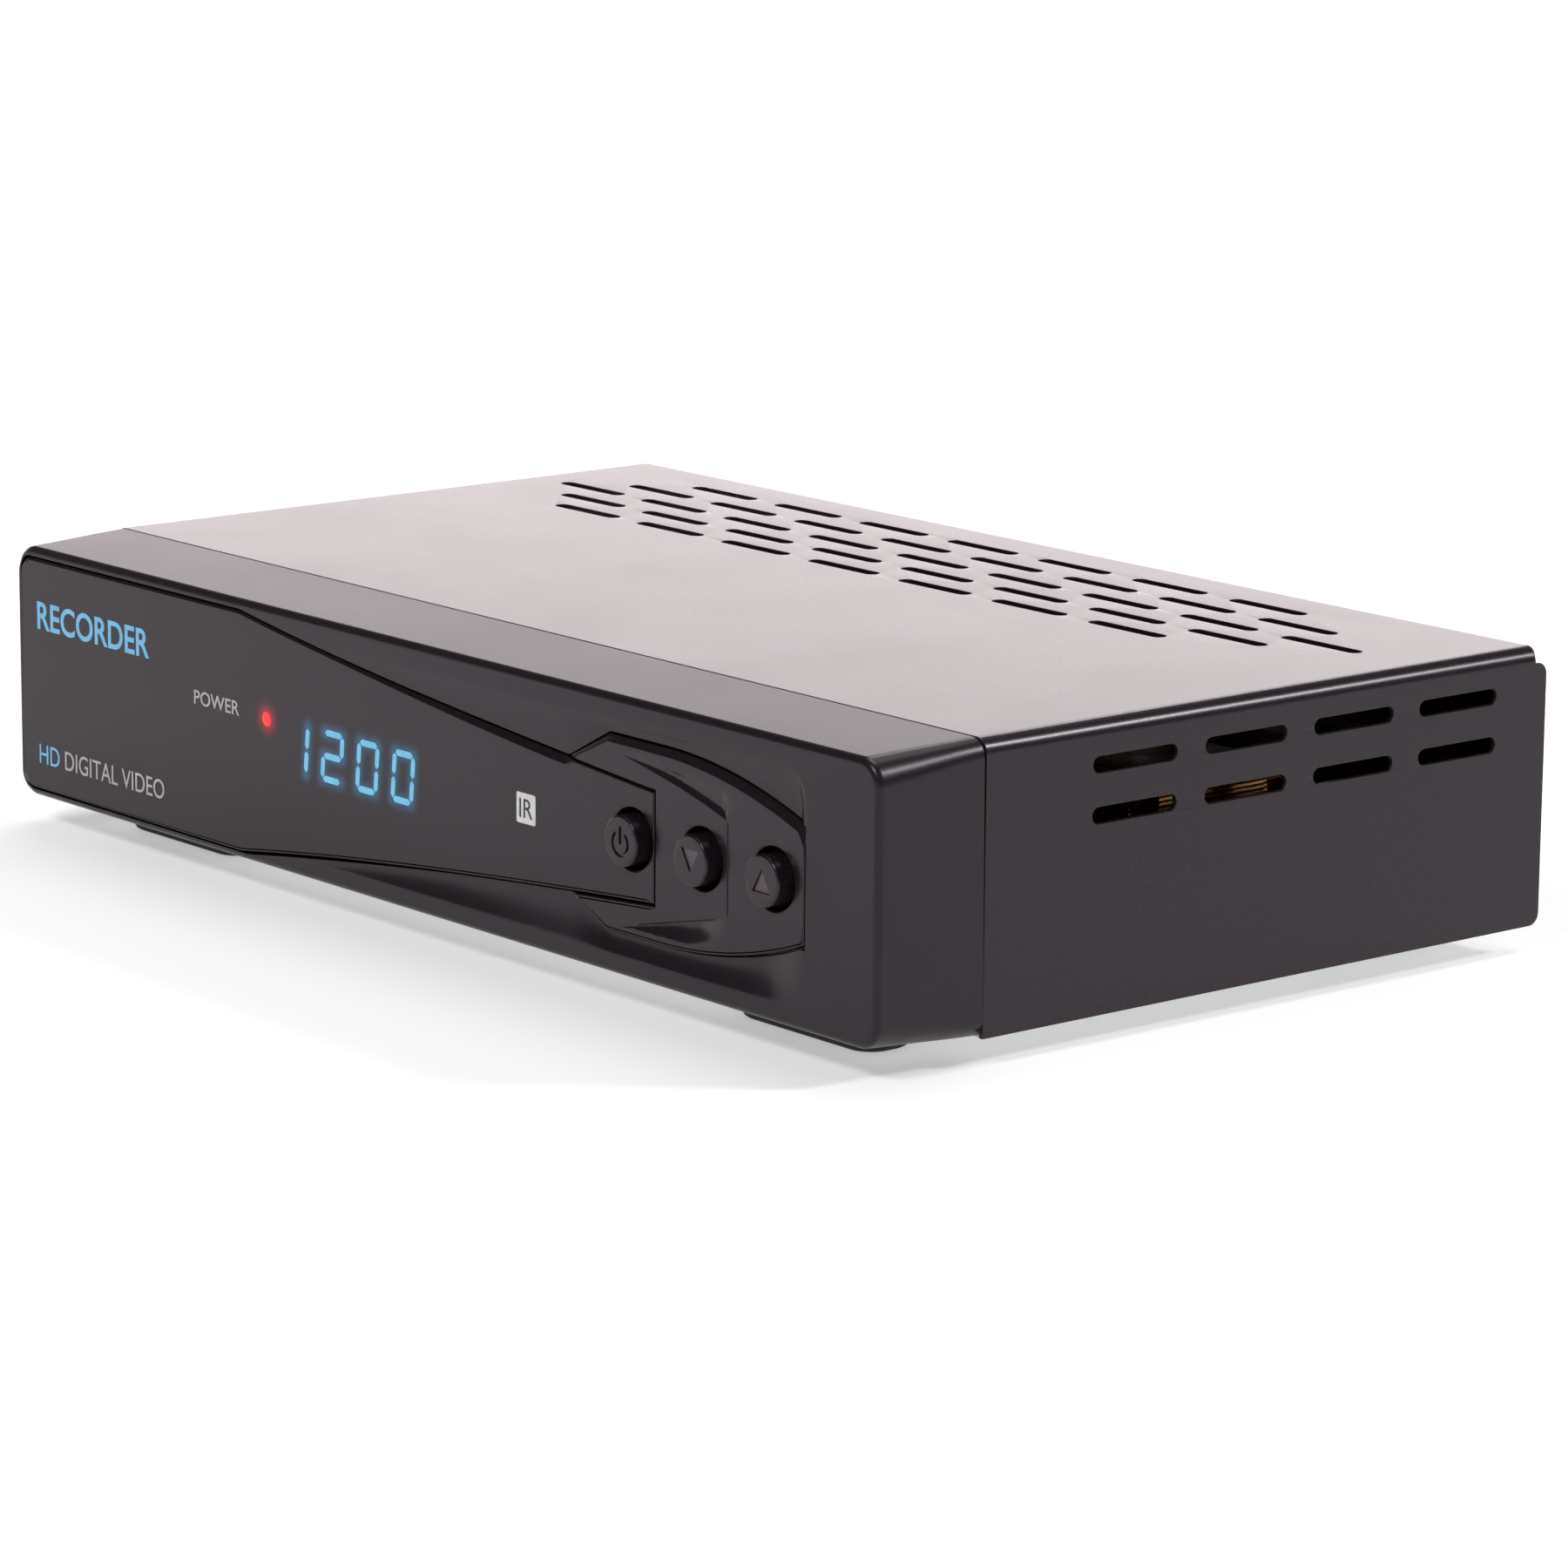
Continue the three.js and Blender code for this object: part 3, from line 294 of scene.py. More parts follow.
class Shader(Nodes):
    """A node material with one Principled BSDF and the textures that feed it."""

    def __init__(self, name):
        self.material = bpy.data.materials.new(name)
        super().__init__(self.material)
        self.bsdf = self.add("ShaderNodeBsdfPrincipled")
        self.feed(self.add("ShaderNodeOutputMaterial"), Surface=self.bsdf.outputs["BSDF"])
        self.place = self.add("ShaderNodeTexCoord").outputs["Object"]

    def noise(self, size, detail=2.0, stretch=(1, 1, 1)):
        """Noise whose lumps are about size metres across."""
        turn = self.feed(self.add("ShaderNodeMapping"), Vector=self.place, Scale=stretch)
        node = self.add("ShaderNodeTexNoise")
        self.feed(node, Vector=turn.outputs[0], Scale=1 / size, Detail=detail, Roughness=0.55)
        return node.outputs["Fac"]

    def ranged(self, value, low, high, source=(0.3, 0.7)):
        node = self.add("ShaderNodeMapRange")
        self.feed(node, Value=value, From_Min=source[0], From_Max=source[1], To_Min=low, To_Max=high)
        return node.outputs["Result"]

    def blend(self, share, first, second):
        """Mixes two colours by share, each a colour or a socket."""
        node = self.add("ShaderNodeMix", data_type="RGBA")
        for index, value in ((0, share), (6, first), (7, second)):
            self.give(value, node.inputs[index])
        return node.outputs[2]

    def worn_edges(self, radius=0.0005):
        """1 on sharp edges, 0 on flat stretches."""
        bent = self.feed(self.add("ShaderNodeBevel", samples=4), Radius=radius)
        flat = self.add("ShaderNodeNewGeometry").outputs["Normal"]
        node = self.add("ShaderNodeVectorMath", operation="DOT_PRODUCT")
        self.give(bent.outputs[0], node.inputs[0])
        self.give(flat, node.inputs[1])
        return self.ranged(node.outputs["Value"], 1.0, 0.0, source=(0.86, 0.99))

    def bump(self, height, depth):
        node = self.feed(self.add("ShaderNodeBump"), Height=height, Distance=depth, Strength=1.0)
        self.feed(self.bsdf, Normal=node.outputs[0])

    def set(self, **inputs):
        self.feed(self.bsdf, **inputs)


BLACK = (0.0125, 0.0086, 0.0114)
SHINE = (1.0, 0.87, 0.97, 1)
# Sizes of the patches in a material, in metres.
CLOUDS = {"paint": 0.03, "metal": 0.012, "lens": 0.025, "board": 0.01, "winding": 0.01, "print": 0.0015}
SCUFF_SIZE = 0.004
SCUFFED = (0.45, 0.75)
LENS_DUST = 0.0005
BRUSH_LINES = 0.0009
LACQUER = 0.003
VARNISH = 0.004
BOARD_GREEN = (0.012, 0.075, 0.028)
PAD_TIN = (0.5, 0.48, 0.42, 1)
COPPER = (0.62, 0.26, 0.07)
PAPER_TAPE = (0.75, 0.52, 0.12, 1)
LENS_TONES = ((0.0118, 0.0078, 0.0106, 1), (0.0136, 0.0094, 0.0122, 1))


def shade(colour, factor):
    """A colour made darker or paler, with its alpha added."""
    return (colour[0] * factor, colour[1] * factor, colour[2] * factor, 1.0)


def coated(name, colour, roughness, grain, grain_depth, spread=0.05, wear=0.5, gloss=0.5, tint=0.12):
    """Paint or moulded plastic: cloudy tone, fine grain and edges rubbed a little paler."""
    s = Shader(name)
    cloud = s.noise(CLOUDS["paint"], detail=4)
    fine = s.noise(grain, detail=3)
    tone = s.blend(s.ranged(cloud, 0, 1), shade(colour, 1 - tint), shade(colour, 1 + tint))
    tone = s.blend(s.ranged(fine, 0, 0.35), tone, shade(colour, 1.5))
    patches = s.ranged(s.noise(SCUFF_SIZE, detail=4), 0, wear, source=SCUFFED)
    tone = s.blend(s.math("MULTIPLY", s.worn_edges(), patches), tone, shade(colour, 3.0))
    mixed = s.math("ADD", s.math("MULTIPLY", cloud, 0.6), s.math("MULTIPLY", fine, 0.4))
    rough = s.ranged(mixed, roughness - spread, roughness + spread)
    s.set(Base_Color=tone, Roughness=rough, Specular_IOR_Level=gloss, Specular_Tint=SHINE)
    s.bump(fine, grain_depth)
    return s.material


def metal(name, colour, roughness, stretch=(1, 14, 1), stain=0.15):
    """Bare metal with a brushed or rolled direction and faint staining."""
    s = Shader(name)
    lines = s.noise(BRUSH_LINES, detail=4, stretch=stretch)
    cloud = s.noise(CLOUDS["metal"], detail=4)
    tone = s.blend(s.ranged(cloud, 0, 1), shade(colour, 1 - stain), shade(colour, 1))
    tone = s.blend(s.math("MULTIPLY", s.worn_edges(0.0003), 0.6), tone, shade(colour, 1.25))
    s.set(Base_Color=tone, Metallic=1.0, Roughness=s.ranged(lines, roughness - 0.08, roughness + 0.1))
    s.bump(lines, 0.000004)
    return s.material


def board_material():
    """Green lacquered board with paler copper tracks and pads."""
    s = Shader("green_board")
    cells = s.add("ShaderNodeTexVoronoi", feature="F1", distance="MANHATTAN")
    s.feed(cells, Vector=s.place, Scale=260.0)
    tracks = s.add("ShaderNodeTexBrick")
    s.feed(tracks, Vector=s.place, Scale=120.0, Mortar_Size=0.04)
    base = BOARD_GREEN
    tone = s.blend(s.ranged(s.noise(CLOUDS["board"]), 0, 1), shade(base, 0.75), shade(base, 1.3))
    tone = s.blend(s.math("MULTIPLY", tracks.outputs["Fac"], 0.6), tone, shade(base, 2.4))
    pads = s.math("LESS_THAN", cells.outputs["Distance"], 0.16)
    tone = s.blend(pads, tone, PAD_TIN)
    s.set(Base_Color=tone, Roughness=s.ranged(s.noise(LACQUER), 0.28, 0.42))
    s.bump(tracks.outputs["Fac"], 0.00004)
    return s.material


def winding_material():
    """Turns of lacquered copper wire, side by side, with paper tape between layers; each turn is painted
    darker towards its edges, painted shade between the turns.
    """
    s = Shader("copper_winding")
    wave = s.add("ShaderNodeTexWave", wave_type="BANDS", bands_direction="Z")
    s.feed(wave, Vector=s.place, Scale=420.0, Distortion=0.6, Detail=2.0)
    # Painted shade: each band darkens towards its edges, standing in for the shade between round turns; the
    # same bands also bump the surface.
    tone = s.blend(wave.outputs["Fac"], shade(COPPER, 0.35), shade(COPPER, 1.0))
    tone = s.blend(s.ranged(s.noise(CLOUDS["winding"]), 0, 0.4), tone, PAPER_TAPE)
    s.set(Base_Color=tone, Roughness=s.ranged(s.noise(VARNISH), 0.25, 0.45), Metallic=0.35)
    s.bump(wave.outputs["Fac"], 0.0003)
    return s.material


def glowing(name, colour, strength):
    """Its own colour with a slightly uneven glow: the lit display and lamp glow for real, while on the unlit
    prints and marks the glow is painted light.
    """
    s = Shader(name)
    cloud = s.ranged(s.noise(CLOUDS["print"]), 0, 1)
    uneven = s.blend(cloud, shade(colour, 0.9), shade(colour, 1.08))
    s.set(Base_Color=uneven, Roughness=0.35, Emission_Color=uneven, Emission_Strength=strength)
    return s.material


def lens_material():
    """Smoked acrylic; the glow of the lamps behind it comes from the mesh's own glow colours."""
    s = Shader("smoked_lens")
    cloud = s.noise(CLOUDS["lens"], detail=4)
    dust = s.noise(LENS_DUST, detail=3)
    tone = s.blend(s.ranged(cloud, 0, 1), *LENS_TONES)
    glow = s.add("ShaderNodeVertexColor", layer_name="glow")
    s.set(Base_Color=tone, Roughness=s.ranged(dust, 0.235, 0.265), Specular_IOR_Level=0.32)
    s.set(Specular_Tint=SHINE)
    s.set(Emission_Color=glow.outputs["Color"], Emission_Strength=1.0)
    s.bump(dust, 0.0000006)
    return s.material


# coated: name, colour, roughness, then the grain's size and depth in metres.
MATERIALS = {
    "cover": coated("black_steel", BLACK, 0.28, 0.00035, 0.000003, spread=0.015, wear=0.2, gloss=0.35),
    "bezel": coated("black_plastic", BLACK, 0.31, 0.00028, 0.000006, spread=0.015, wear=0.1, gloss=0.31),
    "panel": coated("panel_plastic", BLACK, 0.24, 0.00028, 0.0000035, spread=0.015, wear=0.1, gloss=0.33),
    "cap": coated("cap_plastic", BLACK, 0.22, 0.0003, 0.000003, spread=0.015, wear=0.2, gloss=0.36),
    "dark": coated("dark_plastic", (0.012, 0.012, 0.013), 0.42, 0.0004, 0.000006),
    "rubber": coated("rubber", (0.009, 0.009, 0.0095), 0.75, 0.0003, 0.00001, wear=0.2),
    # Painted light: a paler grey for the sunk triangles' floor, standing in for light caught by that floor.
    "mark_floor_painted_light": coated("mark_floor_painted_light", (0.085, 0.066, 0.075), 0.5, 0.0003, 0.000006, wear=0.0),
    "lens": lens_material(),
    "steel": metal("bare_steel", (0.55, 0.56, 0.58), 0.34),
    "aluminium": metal("aluminium", (0.68, 0.69, 0.71), 0.32, stretch=(14, 1, 1)),
    "nickel": metal("nickel", (0.62, 0.6, 0.56), 0.22, stretch=(1, 1, 1)),
    "gold": metal("gold", (0.83, 0.6, 0.24), 0.24, stretch=(1, 1, 1)),
    "board": board_material(),
    "winding": winding_material(),
    "sleeve": coated("sleeve", (0.015, 0.03, 0.07), 0.35, 0.0006, 0.000004, spread=0.08),
    "cable": coated("white_cable", (0.62, 0.62, 0.58), 0.5, 0.0008, 0.00001, wear=0.0),
    "jack_yellow": coated("jack_yellow", (0.80, 0.52, 0.03), 0.35, 0.0006, 0.000005, wear=0.0),
    "jack_white": coated("jack_white", (0.72, 0.72, 0.70), 0.35, 0.0006, 0.000005, wear=0.0),
    "jack_red": coated("jack_red", (0.55, 0.02, 0.02), 0.35, 0.0006, 0.000005, wear=0.0),
    "ceramic": coated("ceramic", (0.7, 0.66, 0.56), 0.35, 0.0008, 0.000005, wear=0.0),
    # The prints and pale marks are no lamps: their glow is painted light, standing in for light falling on
    # them.
    "blue_print_painted_glow": glowing("blue_print_painted_glow", (0.11, 0.36, 0.60), 0.30),
    "pale_print_painted_glow": glowing("pale_print_painted_glow", (0.42, 0.40, 0.41), 0.08),
    "pale_mark_painted_glow": glowing("pale_mark_painted_glow", (0.60, 0.60, 0.61), 0.12),
    "lit_blue": glowing("blue_display", (0.12, 0.40, 0.60), 0.42),
    "lit_red": glowing("red_light", (0.80, 0.02, 0.015), 0.6),
}


# ---------------------------------------------------------------- outlines of the front
TAPER_START = -47.0
LENS_TALL = (LENS_HIGH.z - LENS_LOW.z) / 2
LENS_END = 8.6
LENS_PULL = (-5.0, 13.7)
PANEL_TALL = (PANEL_HIGH.z - PANEL_LOW.z) / 2
PANEL_END = 8.85
PANEL_RIGHT = PANEL_HIGH.x
PANEL_POINT = (40.5, 10.1)
PANEL_SHOULDER = 50.0
PANEL_BEND_START = 63.0
PANEL_PULL = (80.0, PANEL_TALL)

DISH_LEFT = -30.0
DISH_FULL = 40.0
DISH_RIGHT = PANEL_RIGHT + GROOVE
DISH_TOP = 40.3
DISH_BOTTOM = 2 * LENS_MID - DISH_TOP
DISH_CORNER = 5.0
DISH_WIDTH_MIN = 0.12
DISH_LATE_RISE = 0.3
# The hollow above the plates (1) and below them (-1): where it is full, its depth, its right end.
DISH = {1: {"full": DISH_FULL, "depth": 0.7, "run": 2.4}, -1: {"full": 15.0, "depth": 1.15, "run": 11.0}}
# A sloping edge needs a little more height for the same gap.
SEAT_STRETCH = 1.08


def lens_half(x):
    """Half the lens's height at x."""
    if x <= TAPER_START:
        return LENS_TALL
    return bow(x, (TAPER_START, LENS_TALL), LENS_PULL, (LENS_HIGH.x, LENS_END))


def panel_half(x):
    """Half the button panel's height at x."""
    if x <= PANEL_SHOULDER:
        rise = (x - PANEL_POINT[0]) / (PANEL_SHOULDER - PANEL_POINT[0])
        return PANEL_POINT[1] + rise * (PANEL_TALL - PANEL_POINT[1])
    if x <= PANEL_BEND_START:
        return PANEL_TALL
    return bow(x, (PANEL_BEND_START, PANEL_TALL), PANEL_PULL, (PANEL_RIGHT, PANEL_END))


def plate_edge(x, side):
    """Height of the outer edge of lens and panel at x; side is 1 for the top, -1 for the bottom."""
    lens = LENS_MID + side * lens_half(min(x, LENS_HIGH.x))
    if x < PANEL_POINT[0]:
        return lens
    panel = FACE_MID + side * panel_half(min(x, PANEL_RIGHT))
    return max(lens, panel) if side > 0 else min(lens, panel)


def seat_edge(x, side):
    """Height of the seat that the plates lie in, a groove outside their edge."""
    return plate_edge(x, side) + side * GROOVE * SEAT_STRETCH


def dish_edge(x, side):
    """Height of the dish's soft outer edge, rounded off at its right end."""
    middle = (DISH_TOP + DISH_BOTTOM) / 2
    half = (DISH_TOP - DISH_BOTTOM) / 2
    past = max(x - (DISH_RIGHT - DISH_CORNER), 0.0)
    drop = DISH_CORNER - math.sqrt(max(DISH_CORNER ** 2 - past ** 2, 0.0))
    edge = middle + side * (half - drop)
    seat = seat_edge(x, side)
    return max(edge, seat + DISH_WIDTH_MIN) if side > 0 else min(edge, seat - DISH_WIDTH_MIN)


def dish_depth(x, side):
    """Depth of the dish where it meets the plates. The lower one is deeper and runs out slowly."""
    shape = DISH[side]
    rise = shape["depth"] * smooth((x - DISH_LEFT) / (shape["full"] - DISH_LEFT))
    further = DISH_LATE_RISE * min(max((x - DISH_FULL) / (DISH_RIGHT - DISH_FULL), 0.0), 1.0)
    wall = 1 - smooth((x - DISH_RIGHT + shape["run"]) / shape["run"])
    return (rise + further) * wall


def lens_outline():
    """Anticlockwise outline of the lens."""
    corner = PLATE_CORNER
    left = LENS_LOW.x + corner
    xs = steps(TAPER_START, LENS_HIGH.x, 60)
    bottom = [(x, LENS_MID - lens_half(x)) for x in xs]
    top = [(x, LENS_MID + lens_half(x)) for x in reversed(xs)]
    upper = arc((left, LENS_HIGH.z - corner), corner, 90, 180, 10)
    lower = arc((left, LENS_LOW.z + corner), corner, 180, 270, 10)
    return bottom + top + upper + lower


LENS_LEDGE = {"top": 0.42, "growth": 0.7, "inner": 0.2, "ends": 0.22, "bottom": 0.4}
LENS_ENDS = {"left": 1.5, "right": 0.5}
TO_INNER = {"before": 0.4, "length": 1.2}
TO_SCORED = {"before": 8, "length": 6}


def lens_ledge(point):
    """The lens's edge at a point of its outline: the ledge's width, and ledge (1) or scored (0)."""
    x, z = point
    if z > LENS_MID:
        width = LENS_LEDGE["top"] + LENS_LEDGE["growth"] * smooth((x - DISH_LEFT) / (DISH_FULL - DISH_LEFT))
        beside_panel = smooth((x - PANEL_POINT[0] + TO_INNER["before"]) / TO_INNER["length"])
        return width + (LENS_LEDGE["inner"] - width) * beside_panel, 1.0
    if x > LENS_HIGH.x - LENS_ENDS["right"] or x < LENS_LOW.x + LENS_ENDS["left"]:
        return LENS_LEDGE["ends"], 1.0
    return LENS_LEDGE["bottom"], 1 - smooth((x - TAPER_START + TO_SCORED["before"]) / TO_SCORED["length"])


# ---------------------------------------------------------------- bezel
BEZEL_TOP_DRAFT = 0.8
BEZEL_BOTTOM_DRAFT = 0.9
BEZEL_SIDE_DRAFT = 0.25
BEZEL_WALL = 2.2
BEZEL_CORNER = {"rear": 3.0, "growth": 1.3, "most_inward": 2.0}
EDGE_RADIUS = 1.15
FLANK_STATIONS = (-3.0, -7.0, -12.0)
# The open seam: its width, the height on the sides below which it is closed, and its rounded lip as
# (distance from the gap, distance in from the flank).
SEAM_LINE = 0.28
SEAM_END = 9.0
SEAM_LIP = ((0.0, 0.3), (0.02, 0.1), (0.1, 0.0))


def bezel_ring(y, inward):
    """Rounded rectangle of the bezel's outside at y, moved inwards."""
    share = min(y / FRONT, 1.0)
    growth = BEZEL_CORNER["growth"] * smooth(share)
    radius = BEZEL_CORNER["rear"] + growth - min(inward, BEZEL_CORNER["most_inward"])
    side = HALF_WIDTH - BEZEL_SIDE_DRAFT * share - inward
    low = BEZEL_BOTTOM_DRAFT * share + inward
    high = HEIGHT - BEZEL_TOP_DRAFT * share - inward
    outline = rounded_rectangle((-side, side), (low, high), radius, 10)
    return [(x, y, z) for x, z in outline]


def close_low(ring, y):
    """Brings the bezel's rear edge up to the cover where the seam doesn't show, low on the sides."""
    return [(x, COVER_LOW.y - TINY if z < SEAM_END else y, z) for x, _, z in ring]


DISH_WALL = {"even_until": 2.4, "close_from": 2.2, "apart": 0.5}
DISH_ROWS = 14
DISH_BRINK = {"spacing": 1.3, "softness": 0.62}


def dish_columns():
    """Where the dish's columns stand: evenly, closer at its right wall, and at the plates' corners."""
    corners = [PANEL_POINT[0], PANEL_SHOULDER, PANEL_BEND_START]
    even = steps(DISH_LEFT, DISH_RIGHT - DISH_WALL["even_until"], 84)
    wall = steps(DISH_RIGHT - DISH_WALL["close_from"], DISH_RIGHT, 12)
    kept = [x for x in even if all(abs(x - corner) > DISH_WALL["apart"] for corner in corners)]
    return sorted(kept + corners + wall)


def dish_grid(s, side):
    """The hollow above or below the plates: columns of vertices from the seat outwards."""
    columns = []
    for x in dish_columns():
        near, far = seat_edge(x, side), dish_edge(x, side)
        column = []
        for share in steps(0, 1, DISH_ROWS):
            t = share ** DISH_BRINK["spacing"]
            depth = dish_depth(x, side) * smooth((1 - t) ** DISH_BRINK["softness"])
            column.append((x, FRONT + depth, near + (far - near) * t))
        columns.append(s.points(column))
    s.grid(columns)
    return columns


def bezel_left_seat(s):
    """The seat's edge round the left part of the lens, from top to bottom."""
    corner = PLATE_CORNER + GROOVE
    left = LENS_LOW.x - GROOVE + corner
    xs = steps(TAPER_START, DISH_LEFT, 8)[:-1]
    top = [(x, seat_edge(x, 1)) for x in reversed(xs)]
    bottom = [(x, seat_edge(x, -1)) for x in xs]
    upper = arc((left, seat_edge(TAPER_START, 1) - corner), corner, 90, 180, 10)
    lower = arc((left, seat_edge(TAPER_START, -1) + corner), corner, 180, 270, 10)
    return s.front_ring(top + upper + lower + bottom, 0.0)


WINDOW = {"x": (-46.0, 37.0), "z": (13.0, 32.0), "corner": 1.0}
STEM_RADIUS = CAP_RADIUS + 1.3
TONGUE_ROOM = {"half": 104.4, "ahead": 0.4, "rear": 3.0, "low": -3.0, "high": 6.5}


def front_bezel():
    """One closed shell: outside, inside, the seat for the plates, the two hollows and the openings."""
    s = Surface()
    gap = COVER_LOW.y - SEAM_LINE
    seam_edge = [close_low(bezel_ring(gap - back, inward), gap - back) for back, inward in SEAM_LIP]
    flank = [bezel_ring(y, 0.0) for y in (*FLANK_STATIONS, FRONT + EDGE_RADIUS)]
    turn = [[(x, FRONT + depth, z) for x, _, z in bezel_ring(FRONT + EDGE_RADIUS, inward)]
            for inward, depth in roundover(EDGE_RADIUS, 15, 90, 5)]
    inside = [bezel_ring(FRONT + WALL_DEPTH, BEZEL_WALL), bezel_ring(gap, BEZEL_WALL)]
    rings = [s.points(ring) for ring in inside + seam_edge + flank + turn]
    s.stack(rings)

    upper = dish_grid(s, 1)
    lower = dish_grid(s, -1)
    left = bezel_left_seat(s)
    right_steps = steps(seat_edge(DISH_RIGHT, -1), seat_edge(DISH_RIGHT, 1), 6)[1:-1]
    right = s.front_ring([(DISH_RIGHT, z) for z in right_steps], 0.0)
    face_loop = left + lower[0] + [c[-1] for c in lower[1:-1]] + lower[-1][::-1] + right
    face_loop += upper[-1] + [c[-1] for c in reversed(upper[1:-1])] + upper[0][::-1]
    s.fill(rings[-1], face_loop)

    rim = left + [c[0] for c in lower] + right + [c[0] for c in reversed(upper)]
    floor = s.points([(v.co.x, FRONT + SEAT_DEPTH, v.co.z) for v in rim])
    s.band(rim, floor)
    holes = [rounded_rectangle(WINDOW["x"], WINDOW["z"], WINDOW["corner"], 3)]
    holes += [circle((x, FACE_MID), STEM_RADIUS, 32) for x in BUTTON_X]
    hole_front = [s.front_ring(hole, SEAT_DEPTH) for hole in holes]
    hole_back = [s.front_ring(hole, WALL_DEPTH) for hole in holes]
    s.fill(floor, *hole_front)
    s.fill(rings[0], *hole_back)
    for first, second in zip(hole_front, hole_back):
        s.band(first, second)
    bezel = s.finish("front_bezel_shell", MATERIALS["bezel"], slot="black_plastic", replaces=["front_bezel"])
    cut_tray_room(bezel)


def cut_tray_room(bezel):
    """Opens the bezel's underside for the tray's tongue and its lip."""
    s = Surface()
    x = TONGUE_ROOM["half"]
    y = (span("chassis_tray")[0].y - TONGUE_ROOM["ahead"], TONGUE_ROOM["rear"])
    z = (TONGUE_ROOM["low"], TONGUE_ROOM["high"])
    bottom = s.points([(-x, y[0], z[0]), (x, y[0], z[0]), (x, y[1], z[0]), (-x, y[1], z[0])])
    top = s.points([(v.co.x, v.co.y, z[1]) for v in bottom])
    s.band(bottom, top)
    s.face(bottom)
    s.face(top)
    data = bpy.data.meshes.new("tray_room")
    bmesh.ops.recalc_face_normals(s.mesh, faces=s.mesh.faces)
    s.mesh.transform(TO_ROW)
    s.mesh.to_mesh(data)
    s.mesh.free()
    room = put("tray_room", data)
    cut = bezel.modifiers.new("tray_room", "BOOLEAN")
    cut.object = room
    cut.solver = "EXACT"
    apply_first(bezel, "tray_room")
    bpy.data.objects.remove(room)


def apply_first(piece, name):
    """Applies the named modifier, moved to the top of the stack."""
    bpy.context.view_layer.objects.active = piece
    bpy.ops.object.modifier_move_to_index(modifier=name, index=0)
    bpy.ops.object.modifier_apply(modifier=name)


# ---------------------------------------------------------------- plates of the front
# Cross-sections of a plate's edge as (distance in from the edge, depth below the face). A ledge is
# scaled by its width and depth; a scored edge is in millimetres, a soft rim with a fine line inside it.
LEDGE = [(0, 1), (0.30, 0.70), (0.60, 0.40), (0.84, 0.16), (0.92, 0.07), (0.97, 0.02), (1, 0)]
SCORED = [(0, 0.42), (0.05, 0.16), (0.17, 0.03), (0.36, 0.03), (0.47, 0.30), (0.58, 0.03), (0.64, 0)]
LEDGE_SLOPE = 0.68


def plate_rings(s, outline, edges, back):
    """Back edge, flank and front edge of a plate. Returns (back ring, face ring).

    edges gives, for each point, the ledge's width and how far the edge is a ledge (1) or scored (0)."""
    rings = [s.front_ring(outline, back)]
    for ledge, scored in zip(LEDGE, SCORED):
        inward, depths = [], []
        for width, share in edges:
            inward.append(ledge[0] * width * share + scored[0] * (1 - share))
            depths.append(ledge[1] * width * LEDGE_SLOPE * share + scored[1] * (1 - share))
        rings.append(s.front_ring(inset(outline, inward), depths))
    s.stack(rings)
    return rings[0], rings[-1]


def round_hole(s, x, back):
    """A button hole with a rounded rim. Returns (ring on the face, ring at the back)."""
    centre = (x, FACE_MID)
    rings = [s.front_ring(circle(centre, HOLE_RADIUS + outward), depth)
             for outward, depth in roundover(HOLE_RIM, 90, 0, 4)]
    rings.append(s.front_ring(circle(centre, HOLE_RADIUS), back))
    s.stack(rings)
    return rings[0], rings[-1]


GLOW_PATCH = {"x": (-46.0, 8.0), "z": (12.0, 33.0), "step": 0.5}


def glow_patch(s):
    """A fine even grid in the lens's face. Returns its outer ring."""
    across = round((GLOW_PATCH["x"][1] - GLOW_PATCH["x"][0]) / GLOW_PATCH["step"])
    up = round((GLOW_PATCH["z"][1] - GLOW_PATCH["z"][0]) / GLOW_PATCH["step"])
    heights = steps(*GLOW_PATCH["z"], up)
    columns = [s.points([(x, FRONT, z) for z in heights]) for x in steps(*GLOW_PATCH["x"], across)]
    s.grid(columns)
    ring = [c[0] for c in columns] + columns[-1][1:-1] + [c[-1] for c in reversed(columns)]
    return ring + columns[0][-2:0:-1]


def display_lens():
    """The smoked window, with the power button's hole and the grid that carries the glow."""
    s = Surface()
    outline = lens_outline()
    back_depth = LENS_HIGH.y - FRONT
    back, face = plate_rings(s, outline, [lens_ledge(point) for point in outline], back_depth)
    hole_face, hole_back = round_hole(s, BUTTON_X[0], back_depth)
    s.fill(face, hole_face, glow_patch(s))
    s.fill(back, hole_back)
    lens = s.finish("display_window", MATERIALS["lens"], slot="smoked_lens", replaces=["display_lens"])
    paint_glow(lens)


PANEL_INNER = GROOVE * 0.9
INNER_STRETCH = 1.02
PANEL_TIP = PANEL_POINT[0] + 0.55
PANEL_LEDGE = {"inner": 0.2, "scored": 0.34, "top": 1.05, "growth": 0.2, "length": 35}


def panel_outline():
    """Anticlockwise: the shield's outer edge, then back round the lens's right end."""
    tip = PANEL_TIP
    xs = [tip] + steps(PANEL_SHOULDER, PANEL_BEND_START, 3) + steps(PANEL_BEND_START + 2, PANEL_RIGHT, 26)
    bottom = [(x, FACE_MID - panel_half(x)) for x in xs]
    right = [(PANEL_RIGHT, z) for z in steps(bottom[-1][1], FACE_MID + PANEL_END, 6)[1:-1]]
    top = [(x, FACE_MID + panel_half(x)) for x in reversed(xs)]
    notch = steps(LENS_HIGH.x + PANEL_INNER, tip, 14)
    over = [(x, LENS_MID + lens_half(min(x, LENS_HIGH.x)) + PANEL_INNER * INNER_STRETCH)
            for x in reversed(notch)]
    under = [(x, LENS_MID - lens_half(min(x, LENS_HIGH.x)) - PANEL_INNER * INNER_STRETCH) for x in notch]
    return bottom + right + top + over[1:] + under[:-1]


